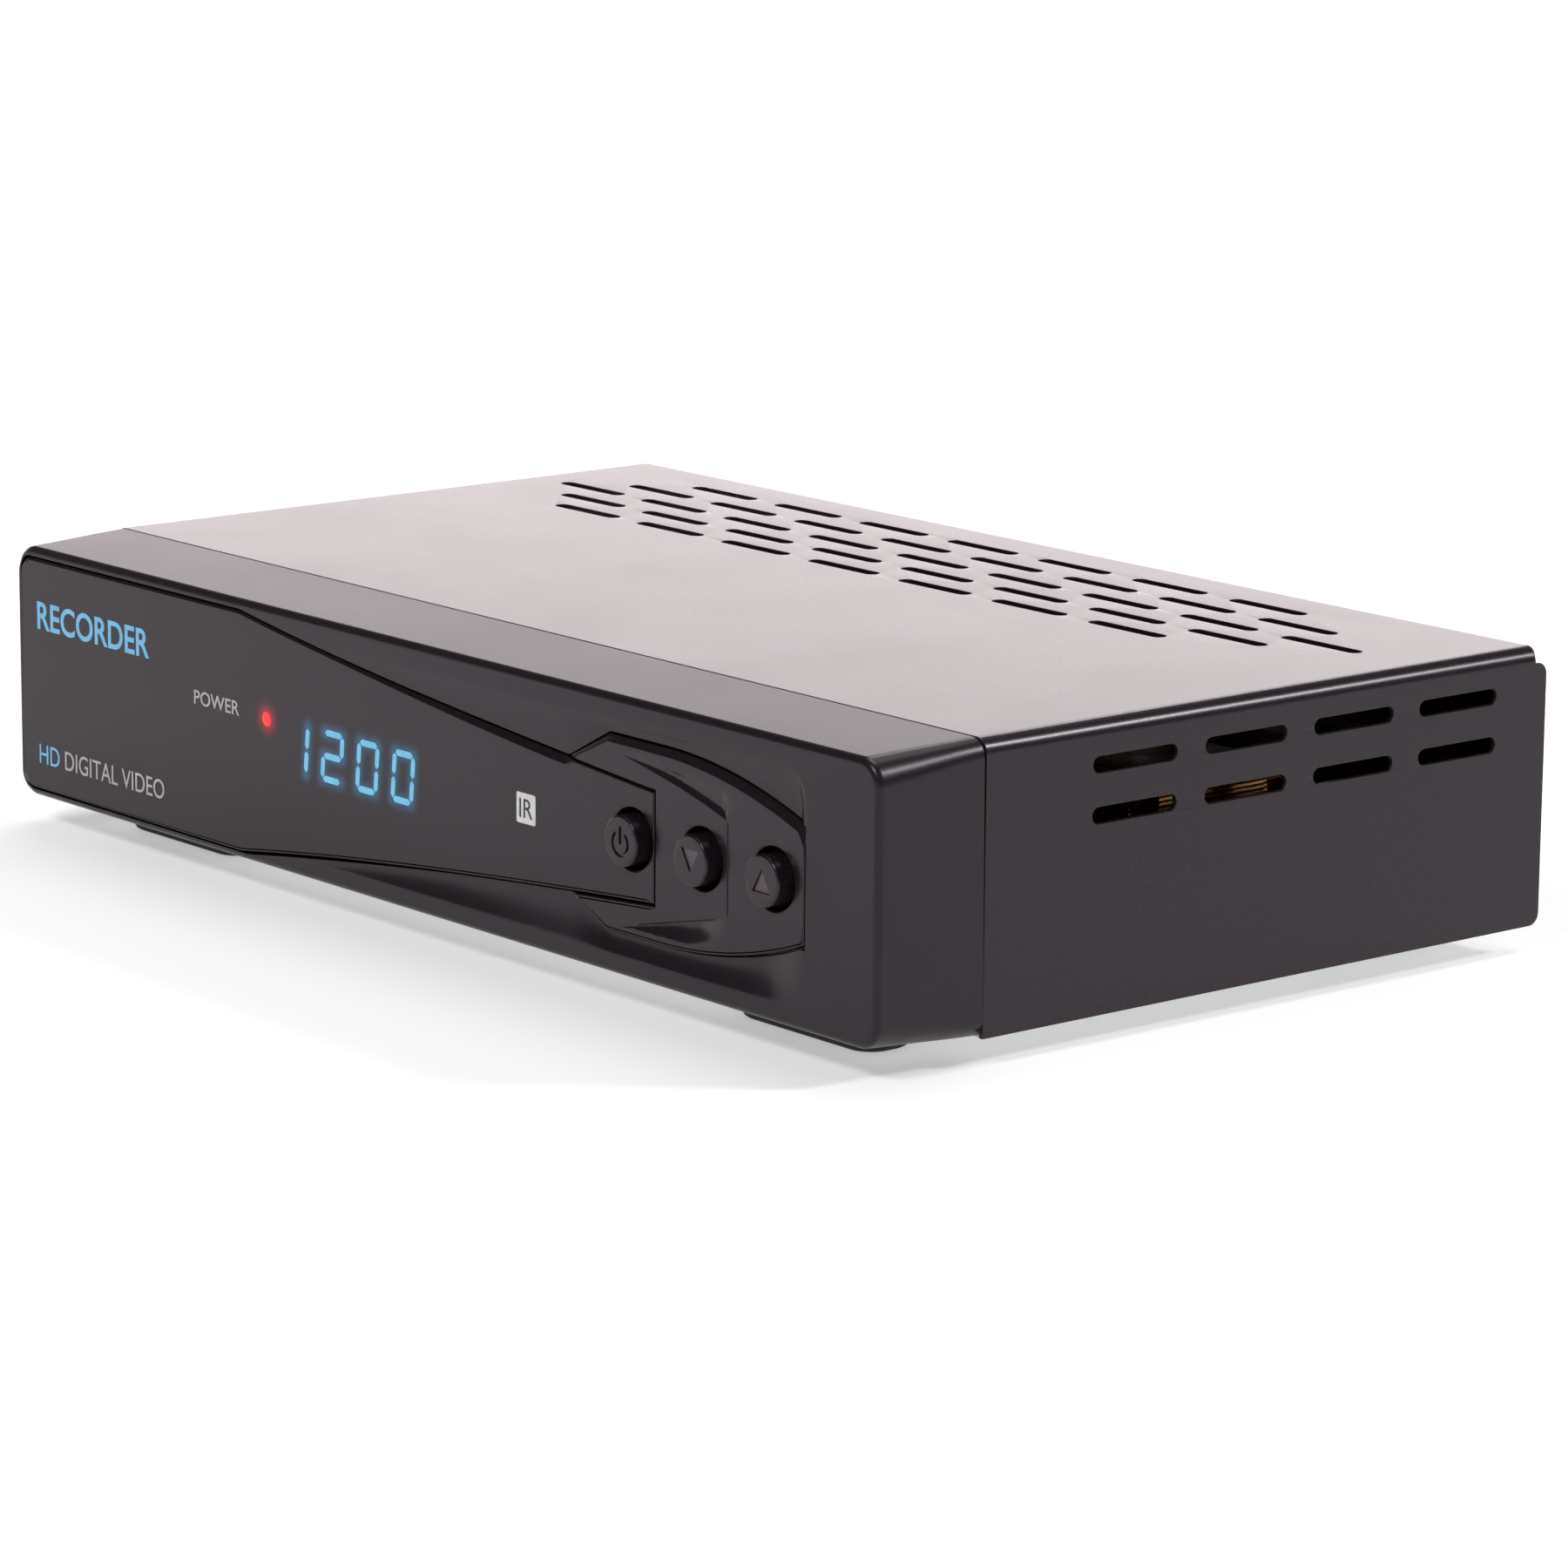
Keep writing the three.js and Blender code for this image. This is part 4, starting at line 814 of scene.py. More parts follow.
def panel_ledge(point):
    """The panel's edge at a point of its outline: the ledge's width, and ledge (1) or scored (0)."""
    x, z = point
    half = panel_half(max(min(x, PANEL_RIGHT), PANEL_POINT[0]))
    outside = abs(abs(z - FACE_MID) - half) < 2 * TINY
    if not outside:
        is_ledge = z > LENS_MID or x > LENS_HIGH.x - 1
        return PANEL_LEDGE["inner"], 1.0 if is_ledge else 0.0
    if abs(z - FACE_MID) < PANEL_END - TINY:
        return PANEL_LEDGE["inner"], 1.0
    if z < FACE_MID or x < PANEL_SHOULDER - 0.5:
        return PANEL_LEDGE["scored"], 0.0
    growth = smooth((x - PANEL_SHOULDER) / PANEL_LEDGE["length"])
    return PANEL_LEDGE["top"] + PANEL_LEDGE["growth"] * growth, 1.0


# The two hollows in the panel end at the raised middle plate's right end. Each foot is a parabola
# from start to end that leaves and arrives towards pull; each brink is a straight line, bent once.
WEDGE = {"left": 52.5, "right": 79.1, "deepens": 16, "brink": 0.7}
UPPER_WEDGE = {"foot": ((52.0, 35.6), (70.0, 32.6), (79.2, 29.4)), "depth": 0.5, "run_out": 1.4}
UPPER_BRINK = {"start": (52.0, 36.0), "slope": -0.066, "room": 0.1}
UPPER_LEDGE = {"least": 0.12, "growth": 0.8, "length": 14}
LOWER_WEDGE = {"foot": ((52.0, 8.5), (66.0, 11.8), (79.2, 14.8)), "depth": 0.95, "run_out": 8.0}
LOWER_BRINK = {"bend": (70.0, 8.9), "slope": 0.25, "room": 0.1}
LOWER_LEDGE = 0.3
MIDDLE_GROOVE = {"x": 79.1, "half": 0.19, "low": 15.2, "high": 29.2, "depth": 0.32}


def wedge(s, foot, brink, ledge, depth, run_out, count=44):
    """A hollow that runs from a soft brink down to the foot of a raised plate's rounded edge.

    foot and brink give heights at x, ledge how wide the raised edge is, depth the hollow's full
    depth, and run_out the length in which it ends on its right."""
    columns = []
    left, right = WEDGE["left"], WEDGE["right"]
    for x in steps(left, right, count):
        end = 1 - smooth((x - right + run_out) / run_out)
        deep = depth * smooth((x - left) / WEDGE["deepens"]) * end
        start, low = brink(x), foot(x)
        column = []
        for t in steps(0, 1, 9):
            column.append((x, FRONT + deep * smooth(t ** WEDGE["brink"]), start + (low - start) * t))
        for across, down in LEDGE[1:]:
            column.append((x, FRONT + deep * down, low + ledge(x) * across))
        columns.append(s.points(column))
    s.grid(columns)
    bottom = [c[0] for c in columns]
    top = [c[-1] for c in reversed(columns)]
    return bottom + columns[-1][1:-1] + top + columns[0][-2:0:-1]


def upper_wedge(s):
    """The hollow above the raised middle plate."""
    start = UPPER_BRINK["start"]

    def ledge(x):
        growth = smooth((x - WEDGE["left"]) / UPPER_LEDGE["length"])
        return -(UPPER_LEDGE["least"] + UPPER_LEDGE["growth"] * growth)

    def foot(x):
        return bow(x, *UPPER_WEDGE["foot"]) - ledge(x)

    def brink(x):
        return max(start[1] + (x - start[0]) * UPPER_BRINK["slope"], foot(x) + UPPER_BRINK["room"])

    return wedge(s, foot, brink, ledge, UPPER_WEDGE["depth"], UPPER_WEDGE["run_out"])


def lower_wedge(s):
    """The hollow below the raised middle plate."""
    bend = LOWER_BRINK["bend"]

    def ledge(_):
        return LOWER_LEDGE

    def foot(x):
        return bow(x, *LOWER_WEDGE["foot"]) - LOWER_LEDGE

    def brink(x):
        return min(bend[1] + LOWER_BRINK["slope"] * max(x - bend[0], 0.0), foot(x) - LOWER_BRINK["room"])

    return wedge(s, foot, brink, ledge, LOWER_WEDGE["depth"], LOWER_WEDGE["run_out"])


def middle_groove(s):
    """The thin vertical line at the raised plate's right end."""
    x, half = MIDDLE_GROOVE["x"], MIDDLE_GROOVE["half"]
    heights = steps(MIDDLE_GROOVE["low"], MIDDLE_GROOVE["high"], 6)
    left = s.front_ring([(x - half, z) for z in heights], 0.0)
    mid = s.front_ring([(x, z) for z in heights], MIDDLE_GROOVE["depth"])
    right = s.front_ring([(x + half, z) for z in heights], 0.0)
    s.grid([left, mid, right])
    s.face([left[0], mid[0], right[0]])
    s.face([left[-1], mid[-1], right[-1]])
    return left[::-1] + right


def button_panel():
    """The shield round the other two buttons, with its hollows above and below."""
    s = Surface()
    outline = panel_outline()
    back_depth = PANEL_HIGH.y - FRONT
    back, face = plate_rings(s, outline, [panel_ledge(point) for point in outline], back_depth)
    holes = [round_hole(s, x, back_depth) for x in BUTTON_X[1:]]
    s.fill(face, *[hole[0] for hole in holes], upper_wedge(s), lower_wedge(s), middle_groove(s))
    s.fill(back, *[hole[1] for hole in holes])
    s.finish("button_plate", MATERIALS["panel"], slot="black_plastic", replaces=["button_panel"])


# ---------------------------------------------------------------- buttons
def stroke_arc(centre, radius, width, first, last, count=28):
    """Outline of a curved stroke, anticlockwise."""
    outer = arc(centre, radius + width / 2, first, last, count)
    inner = arc(centre, radius - width / 2, last, first, count)
    return outer + inner


# The power sign is an open ring, its angles in degrees, and a bar. The others are triangles.
POWER_RING = {"below": 0.35, "radius": 1.85, "width": 0.55, "from": 125, "to": 415}
POWER_BAR = {"half": 0.3, "low": -0.55, "high": 2.3, "corner": 0.25}
TRIANGLE = {"half": 2.1, "rise": 1.8}
CAP_BEVEL = 0.4
MARK_DEPTH = 0.32
MARK_TAPER = 0.07


def power_sign(x):
    sign = POWER_RING
    centre = (x, FACE_MID - sign["below"])
    ring = stroke_arc(centre, sign["radius"], sign["width"], sign["from"], sign["to"])
    across = (x - POWER_BAR["half"], x + POWER_BAR["half"])
    up = (FACE_MID + POWER_BAR["low"], FACE_MID + POWER_BAR["high"])
    return [ring, rounded_rectangle(across, up, POWER_BAR["corner"], 3)]


def icon_outlines(name, x):
    """Outlines of the mark sunk into a cap."""
    if name == "power_button":
        return power_sign(x)
    turn = -1 if name == "down_button" else 1
    half, rise = TRIANGLE["half"], TRIANGLE["rise"]
    corners = [(-half, -rise * turn), (half, -rise * turn), (0, rise * turn)]
    if turn < 0:
        corners.reverse()
    return [[(x + dx, FACE_MID + dz) for dx, dz in corners]]


def button_cap(name, x):
    """A round cap with its sunk mark; the triangles' floor is painted paler, painted light standing in for
    light caught by the sunk floor.
    """
    s = Surface()
    top = CAP_FRONT - FRONT
    centre = (x, FACE_MID)
    back = span(name)[1].y - FRONT
    rings = [s.front_ring(circle(centre, CAP_RADIUS), back)]
    for inward, depth in roundover(CAP_BEVEL, 0, 90, 5):
        rings.append(s.front_ring(circle(centre, CAP_RADIUS - inward), top + depth))
    s.stack(rings, 0)
    marks = []
    for outline in icon_outlines(name, x):
        brim = s.front_ring(outline, top)
        floor = s.front_ring(inset(outline, [MARK_TAPER] * len(outline)), top + MARK_DEPTH)
        s.band(brim, floor)
        s.fill(floor)
        marks.append(brim)
    s.fill(rings[-1], *marks)
    cap = s.finish(name + "_cap", MATERIALS["cap"], body=name, slot="black_plastic", replaces=[name])
    # The triangles' sunk floor gets the paler material: painted light.
    if name != "power_button":
        cap.data.materials.append(MATERIALS["mark_floor_painted_light"])
        level = to_row((0, CAP_FRONT + MARK_DEPTH, 0)).y
        for polygon in cap.data.polygons:
            if abs(polygon.center.y - level) < TINY * MM:
                polygon.material_index = 1


# ---------------------------------------------------------------- lit display and printed marks
PRINT_LIFT = 0.03
DIGIT = {"low": 17.9, "high": 26.6, "width": 6.0, "stroke": 1.05, "pitch": 9.55, "left": -34.1}
SLANT = math.tan(math.radians(5.5))
SEGMENTS_OF = {"0": "abcdef", "1": "bc", "2": "abged"}
SHOWN = "1200"
SEGMENT_GAP = 0.16
SEGMENT_SINK = 0.05
LAMP = middle_of("power_light")
LAMP_DOME = ((1.25, 0.02), (1.15, -0.03), (0.85, -0.07), (0.45, -0.09), (0.12, -0.1))
BLUE_HALO = {"colour": (0.008, 0.085, 0.16), "reach": 1.15}
RED_HALO = {"colour": (0.5, 0.01, 0.01), "reach": 1.75}


def segment_ends(letter):
    """The two ends of one stroke of a digit, in the digit's own width and height."""
    half = DIGIT["stroke"] / 2
    right, high = DIGIT["width"] - half, DIGIT["high"] - DIGIT["low"] - half
    middle = (high + half) / 2
    ends = {
        "a": ((half, high), (right, high)),
        "b": ((right, high), (right, middle)),
        "c": ((right, middle), (right, half)),
        "d": ((half, half), (right, half)),
        "e": ((half, middle), (half, half)),
        "f": ((half, high), (half, middle)),
        "g": ((half, middle), (right, middle)),
    }
    return ends[letter]


def lean(origin, point):
    """A point of a digit, slanted and set in its place on the front."""
    return (origin + point[0] + SLANT * point[1], DIGIT["low"] + point[1])


def lit_segments():
    """(start, end) of every lit stroke, on the front."""
    lit = []
    for index, digit in enumerate(SHOWN):
        origin = DIGIT["left"] + DIGIT["pitch"] * index
        for letter in SEGMENTS_OF[digit]:
            lit.append(tuple(lean(origin, end) for end in segment_ends(letter)))
    return lit


def display_digits():
    """Each stroke is a long hexagon with pointed ends."""
    s = Surface()
    gap, half = SEGMENT_GAP, DIGIT["stroke"] / 2
    for start, end in lit_segments():
        a, b = Vector(start), Vector(end)
        along = (b - a).normalized()
        aside = Vector((-along.y, along.x)) * half
        a, b = a + along * gap, b - along * gap
        corners = [a, a + along * half - aside, b - along * half - aside, b, b - along * half + aside,
                   a + along * half + aside]
        outline = [tuple(c) for c in corners]
        base = s.front_ring(outline, SEGMENT_SINK)
        top = s.front_ring(outline, -PRINT_LIFT)
        s.band(base, top)
        s.face(base)
        s.face(top)
    s.finish("display_digits", MATERIALS["lit_blue"], slot="blue_display")


def power_lamp():
    """The red lamp's bright spot, a shallow dome on the lens."""
    s = Surface()
    rings = [s.front_ring(circle(LAMP, radius, 28), depth) for radius, depth in LAMP_DOME]
    s.stack(rings, -1, 0)
    s.finish("power_lamp_spot", MATERIALS["lit_red"], slot="red_light")


def distance_to_stroke(point, start, end):
    """How far a point lies from the line between a stroke's ends."""
    along = end - start
    share = min(max((point - start).dot(along) / along.length_squared, 0.0), 1.0)
    return (point - start - along * share).length


def paint_glow(lens):
    """Stores the soft halo of the digits and the lamp as colours on the lens's points."""
    blue, red = Vector(BLUE_HALO["colour"]), Vector(RED_HALO["colour"])
    strokes = [(Vector(a), Vector(b)) for a, b in lit_segments()]
    lamp = Vector(LAMP)
    colours = lens.data.color_attributes.new("glow", "FLOAT_COLOR", "POINT")
    for vertex, colour in zip(lens.data.vertices, colours.data):
        at = (vertex.co - CASE_ORIGIN) / MM
        here = Vector((at.x, at.z))
        total = Vector((0, 0, 0))
        if at.y < FRONT + TINY and GLOW_PATCH["x"][0] < at.x < GLOW_PATCH["x"][1]:
            near = min(distance_to_stroke(here, a, b) for a, b in strokes)
            total += blue * math.exp(-((near / BLUE_HALO["reach"]) ** 2))
            total += red * math.exp(-(((here - lamp).length / RED_HALO["reach"]) ** 2))
        colour.color = (*total, 1.0)


# Generic words: material, words, left edge, base line, height, width and added weight. The print materials
# glow as painted light.
LABELS = {
    "name_mark": ("blue_print_painted_glow", "RECORDER", -107.3, 30.2, 4.9, 34.0, 0.018),
    "power_label": ("pale_print_painted_glow", "POWER", -60.2, 24.8, 2.4, 13.0, 0.008),
    "type_mark_left": ("blue_print_painted_glow", "HD", -107.3, 6.9, 3.3, 6.2, 0.0),
    "type_mark_right": ("pale_print_painted_glow", "DIGITAL VIDEO", -99.4, 6.9, 3.3, 30.0, 0.0),
}
INFRARED_LETTERS = ("dark", "IR", 28.35, 21.3, 3.0, 3.3, 0.0)
INFRARED_SQUARE = {"x": (27.6, 32.4), "z": (20.4, 25.2), "corner": 0.35}


def print_text(name, label, lift=PRINT_LIFT):
    """Flat raised lettering on the lens, from its left edge and base line."""
    finish, words, left, low, height, width, weight = label
    curve = bpy.data.curves.new(name, "FONT")
    curve.body = words
    curve.size = 1.0
    curve.offset = weight
    curve.resolution_u = 6
    curve.extrude = 0.01
    holder = put(name + "_curve", curve)
    bpy.context.view_layer.update()
    data = bpy.data.meshes.new_from_object(holder.evaluated_get(bpy.context.evaluated_depsgraph_get()))
    bpy.data.objects.remove(holder)
    xs = [v.co.x for v in data.vertices]
    ys = [v.co.y for v in data.vertices]
    tall = max(ys) - min(ys)
    rise = height / tall
    wide = width / (max(xs) - min(xs))
    for v in data.vertices:
        x = left + (v.co.x - min(xs)) * wide
        z = low + (v.co.y - min(ys)) * rise
        y = FRONT - (lift if v.co.z > 0 else 0.0)
        v.co = to_row((x, y, z))
    data.name = name
    settle(name, data, MATERIALS[finish], "case")


def printed_marks():
    for name, label in LABELS.items():
        print_text(name, label)


def infrared_mark():
    """A small pale square on the lens with the letters for infrared in it; the square's glow is painted
    light.
    """
    s = Surface()
    outer = rounded_rectangle(INFRARED_SQUARE["x"], INFRARED_SQUARE["z"], INFRARED_SQUARE["corner"], 4)
    front = s.front_ring(outer, -PRINT_LIFT)
    back = s.front_ring(outer, PRINT_LIFT)
    s.fill(front)
    s.fill(back)
    s.band(front, back)
    s.finish("infrared_mark", MATERIALS["pale_mark_painted_glow"])
    print_text("infrared_letters", INFRARED_LETTERS, lift=2 * PRINT_LIFT)


# ---------------------------------------------------------------- cover
COVER_BEND = 2.5
REAR_BEND = COVER_HIGH.y - COVER_BEND
FLANGE_BOTTOM = 35.0
SLOT_LENGTH = 17.0
SLOT_HALF = 1.25
TOP_PITCH = 23.25
TOP_ROWS = [(75.0, 7, -76.6), (82.7, 8, -84.9), (90.4, 9, -94.9), (98.2, 8, -84.9), (106.1, 7, -76.6)]
SIDE_COLUMNS = [30.0, 52.8, 75.6, 98.3]
SIDE_ROWS = [30.6, 38.3]
SIDE_CORNER = 2.0
# The soft edges: of a slot as (wider than the slot, depth), of the cover's front as (depth, set back).
SLOT_EDGE = ((0.16, 0.0), (0.05, 0.04), (0.0, 0.16), (0.0, SHEET))
FRONT_SOFT = 0.15
FRONT_EDGE = ((0.0, FRONT_SOFT), (0.05, 0.04), (0.16, 0.0), (SHEET, 0.0))


def slot_outline(a, b, grow=0.0):
    """A slot's round-ended outline about (a, b) in the plane of the sheet."""
    reach = SLOT_LENGTH / 2 + grow
    half = SLOT_HALF + grow
    return rounded_rectangle((a - reach, a + reach), (b - half, b + half), half - 0.1 * TINY, 8)


def pierced_sheet(s, outer, inner, slots, place):
    """Both faces of a flat stretch of sheet, and the soft-edged slots through it.

    outer and inner are vertex rings; place(a, b, deep) puts a point of the sheet in space."""
    rings_out, rings_in = [], []
    for a, b in slots:
        rings = []
        for grow, deep in SLOT_EDGE:
            rings.append(s.points([place(p[0], p[1], deep) for p in slot_outline(a, b, grow)]))
        s.stack(rings)
        rings_out.append(rings[0])
        rings_in.append(rings[-1])
    s.fill(outer, *rings_out)
    s.fill(inner, *rings_in)


def cover_section(deep):
    """Half of the folded section, from the right foot up to the middle of the top."""
    bend = COVER_BEND - deep
    side = HALF_WIDTH - deep
    centre = (HALF_WIDTH - COVER_BEND, HEIGHT - COVER_BEND)
    return [(side, COVER_FOOT)] + arc(centre, bend, 0, 90, 10)


def top_cover():
    """The folded sheet: slotted top, slotted sides, and the flange over the rear panel."""
    s = Surface()
    front = COVER_LOW.y
    slots = [(first + TOP_PITCH * i, y) for y, count, first in TOP_ROWS for i in range(count)]
    edge = HALF_WIDTH - COVER_BEND

    def top_ring(deep):
        z = HEIGHT - deep
        soft = FRONT_SOFT if deep == 0 else 0.0
        corners = [(-edge, front + soft), (edge, front + soft), (edge, REAR_BEND), (-edge, REAR_BEND)]
        return s.points([(x, y, z) for x, y in corners])

    outer, inner = top_ring(0), top_ring(SHEET)
    pierced_sheet(s, outer, inner, slots, lambda a, b, deep: (a, b, HEIGHT - deep))
    for side in (-1, 1):
        cover_side(s, side, front)
    rear_fold(s)
    front_rim(s)
    s.finish("cover_shell", MATERIALS["cover"], slot="black_steel", replaces=["top_cover"])


def cover_side(s, side, front):
    """One flank: the rounded bend, the pierced sheet and its edges."""
    rear = COVER_HIGH.y
    high = HEIGHT - COVER_BEND
    corner = SIDE_CORNER
    slots = [(y, z) for y in SIDE_COLUMNS for z in SIDE_ROWS]
    faces = []
    for deep, soft in ((0.0, FRONT_SOFT), (SHEET, 0.0)):
        x = side * (HALF_WIDTH - deep)
        outline = [(front + soft, COVER_FOOT)]
        outline += arc((rear - corner, COVER_FOOT + corner), corner, -90, 0, 6)
        outline += arc((rear - corner, high - corner), corner, 0, 90, 6)
        outline += [(REAR_BEND, high), (front + soft, high)]
        faces.append(s.points([(x, y, z) for y, z in outline]))
    outer, inner = faces
    pierced_sheet(s, outer, inner, slots, lambda a, b, deep: (side * (HALF_WIDTH - deep), a, b))
    s.strip(outer[:-1], inner[:-1])
    bends = []
    for deep, soft in ((0.0, FRONT_SOFT), (SHEET, 0.0)):
        section = cover_section(deep)[1:]
        near = s.points([(side * x, front + soft, z) for x, z in section])
        far = s.points([(side * x, REAR_BEND, z) for x, z in section])
        s.strip(near, far)
        bends.append(far)
    s.strip(*bends)


def rear_fold(s):
    """The top's rear edge, folded down behind the rear panel."""
    edge = HALF_WIDTH - COVER_BEND
    rows = []
    for deep in (0.0, SHEET):
        profile = arc((REAR_BEND, HEIGHT - COVER_BEND), COVER_BEND - deep, 90, 0, 10)
        profile.append((COVER_HIGH.y - deep, FLANGE_BOTTOM))
        left = s.points([(-edge, y, z) for y, z in profile])
        right = s.points([(edge, y, z) for y, z in profile])
        s.strip(left, right)
        rows.append((left, right))
    s.strip(rows[0][0], rows[1][0])
    s.strip(rows[0][1], rows[1][1])
    s.face([rows[0][0][-1], rows[0][1][-1], rows[1][1][-1], rows[1][0][-1]])


def front_rim(s):
    """The softened front edge of the cover, all along its section."""
    whole = []
    for deep, back in FRONT_EDGE:
        half = cover_section(deep)
        path = half + [(-x, z) for x, z in reversed(half)]
        whole.append(s.points([(x, COVER_LOW.y + back, z) for x, z in path]))
    s.grid(whole)


# ---------------------------------------------------------------- feet
FEET = [f"foot_{end}_{side}" for end in ("front", "rear") for side in ("left", "right")]
FOOT_CORNER = {"radius": 4.2, "shrink": 0.6}
# The rounded sole with a shallow hollow in it, as (distance in, height above the floor).
FOOT_SOLE = ((0, 1.6), (0.1, 1.0), (0.4, 0.45), (0.9, 0.12), (1.5, 0), (2.4, 0), (2.7, 0.25))


def feet():
    for name in FEET:
        low, high = span(name)
        s = Surface()
        rings = []
        for inward, z in [(0, high.z)] + [(inward, low.z + rise) for inward, rise in FOOT_SOLE]:
            corner = FOOT_CORNER["radius"] - inward * FOOT_CORNER["shrink"]
            outline = rounded_rectangle((low.x + inward, high.x - inward),
                                        (low.y + inward, high.y - inward), corner, 8)
            rings.append(s.points([(x, y, z) for x, y in outline]))
        s.stack(rings, 0, -1)
        s.finish(name + "_pad", MATERIALS["rubber"], slot="rubber", replaces=[name])


# ---------------------------------------------------------------- rear sockets
BOTH_ENDS = (0, -1)
FAR_END = (-1,)


def lathe(s, centre, profile, count=40, closed=()):
    """Rings round an axis along y, from (y, radius) pairs. centre is (x, z)."""
    s.stack([s.ring_at(y, circle(centre, radius, count)) for y, radius in profile], *closed)


PANEL_REAR = span("rear_panel")[1].y
THREAD = {"radius": 4.7, "depth": 0.35, "pitch": 0.85, "turns": 8, "from_end": 0.9, "neck": 0.2,
          "run_in": 0.3}
# One turn of the thread as (along, 0 at the root or 1 at the crest).
THREAD_TURN = ((0.0, 0), (0.12, 0), (0.36, 1), (0.5, 1), (0.74, 0))
# The mouth as (distance from the end, radius), from the outside in; the insulator as (distance from
# its seat, radius), from the seat round its rim to the hole for the pin.
MOUTH = ((0.5, 4.35), (0.0, 3.95), (0.0, 3.45), (0.15, 3.3), (1.4, 3.3))
INSULATOR_SEAT = 1.38
INSULATOR = ((0.0, 3.28), (0.5, 3.28), (0.6, 3.1), (0.6, 0.95), (0.5, 0.8), (0.1, 0.8))
NUT = {"flats": 5.5, "chamfer": 0.45, "near": 0.02, "far": 2.4, "play": 0.02}
NUT_CORNER = {"half_turn": 6, "kept": 0.975}
# A lathe's ring almost on its axis.
AXIS = 0.05


def hexagon(centre, across):
    """Six sides with slightly softened corners, across being the distance to a flat."""
    points = []
    for index in range(6):
        for turn in (-NUT_CORNER["half_turn"], NUT_CORNER["half_turn"]):
            a = math.radians(60 * index + turn)
            radius = across / math.cos(math.radians(30)) * NUT_CORNER["kept"]
            points.append((centre[0] + radius * math.cos(a), centre[1] + radius * math.sin(a)))
    return points


def aerial_connector(node):
    """A threaded barrel with its nut on the panel, an insulator and the hole for the pin."""
    low, high = span(node)
    centre = middle_of(node)
    end = high.y
    s = Surface()
    crest, root = THREAD["radius"], THREAD["radius"] - THREAD["depth"]
    neck = crest - THREAD["neck"]
    start = end - THREAD["from_end"] - THREAD["pitch"] * THREAD["turns"]
    profile = [(low.y, AXIS), (low.y, neck), (start - THREAD["run_in"], neck)]
    for turn in range(THREAD["turns"]):
        y = start + THREAD["pitch"] * turn
        profile += [(y + along, crest if high_part else root) for along, high_part in THREAD_TURN]
    profile += [(end - back, radius) for back, radius in MOUTH]
    lathe(s, centre, profile, closed=FAR_END)
    s.finish(node + "_barrel", MATERIALS["nickel"], slot="nickel", replaces=[node])
    connector_nut(node, centre)
    s = Surface()
    seat = end - INSULATOR_SEAT
    lathe(s, centre, [(seat + along, radius) for along, radius in INSULATOR], 32, BOTH_ENDS)
    s.finish(node + "_insulator", MATERIALS["cable"])


def connector_nut(node, centre):
    """The hexagonal nut that holds a barrel to the panel."""
    s = Surface()
    near, far = PANEL_REAR + NUT["near"], PANEL_REAR + NUT["far"]
    flats, chamfer = NUT["flats"], NUT["chamfer"]
    profile = ((near, flats), (far - chamfer, flats), (far, flats - chamfer))
    rings = [s.ring_at(y, hexagon(centre, across)) for y, across in profile]
    s.stack(rings)
    bore = THREAD["radius"] + NUT["play"]
    inner = [s.ring_at(y, circle(centre, bore, 36)) for y in (near, far)]
    s.band(*inner)
    s.fill(rings[0], inner[0])
    s.fill(rings[-1], inner[1])
    s.finish(node + "_nut", MATERIALS["steel"])


JACKS = {"x": (22.0, 32.0, 42.0), "z": 14.2, "colours": ("jack_yellow", "jack_white", "jack_red")}
JACK_BASE = PANEL_REAR - 0.98
# The sleeve's and the insert's rims, as (distance from the end, radius), from the outside in.
SLEEVE = {"outside": 4.1, "inside": 3.4}
SLEEVE_END = ((3.0, 4.1), (2.8, 3.95), (0.5, 3.95), (0.1, 3.75), (0.0, 3.6), (0.1, 3.45), (0.5, 3.4))
JACK_INSERT = ((0.7, 3.38), (0.5, 3.2), (0.5, 1.9), (0.7, 1.65))
JACK_HOLE = 1.6
# The housing's chamfered ends, as (distance in, distance from its front or from the rear panel).
HOUSING_CORNER = 0.8
HOUSING_FRONT = ((0.5, 0.0), (0.0, 0.5))
HOUSING_REAR = ((0.0, 1.3), (0.3, 1.0))


def phono_jacks():
    """The housing inside the case, and three gold sleeves with coloured rings in them."""
    low, high = span("phono_sockets")
    s = Surface()
    rings = []
    stations = [(inward, low.y + along) for inward, along in HOUSING_FRONT]
    stations += [(inward, PANEL_REAR - back) for inward, back in HOUSING_REAR]
    for inward, y in stations:
        across, up = (low.x + inward, high.x - inward), (low.z + inward, high.z - inward)
        rings.append(s.ring_at(y, rounded_rectangle(across, up, HOUSING_CORNER, 4)))
    s.stack(rings, *BOTH_ENDS)
    s.finish("phono_housing", MATERIALS["dark"], slot="gold", replaces=["phono_sockets"])
    for index, (x, colour) in enumerate(zip(JACKS["x"], JACKS["colours"])):
        phono_jack(f"phono_jack_{index + 1}", (x, JACKS["z"]), high.y, MATERIALS[colour])


def phono_jack(name, centre, end, colour):
    """A gold sleeve and the coloured ring in it."""
    s = Surface()
    profile = [(JACK_BASE, SLEEVE["inside"]), (JACK_BASE, SLEEVE["outside"])]
    profile += [(end - back, radius) for back, radius in SLEEVE_END]
    lathe(s, centre, profile + [(JACK_BASE, SLEEVE["inside"])])
    s.finish(name + "_sleeve", MATERIALS["gold"])
    s = Surface()
    profile = [(JACK_BASE, JACK_INSERT[0][1])] + [(end - back, radius) for back, radius in JACK_INSERT]
    lathe(s, centre, profile + [(JACK_BASE + 1, JACK_HOLE)], closed=BOTH_ENDS)
    s.finish(name + "_insulator", colour)


PIN_ASIDE = 4.3
# A pin from its root to its round tip, as (y, radius).
PIN = ((108.1, 1.26), (116.2, 1.26), (116.8, 1.05), (117.05, 0.5), (117.1, 0.1))


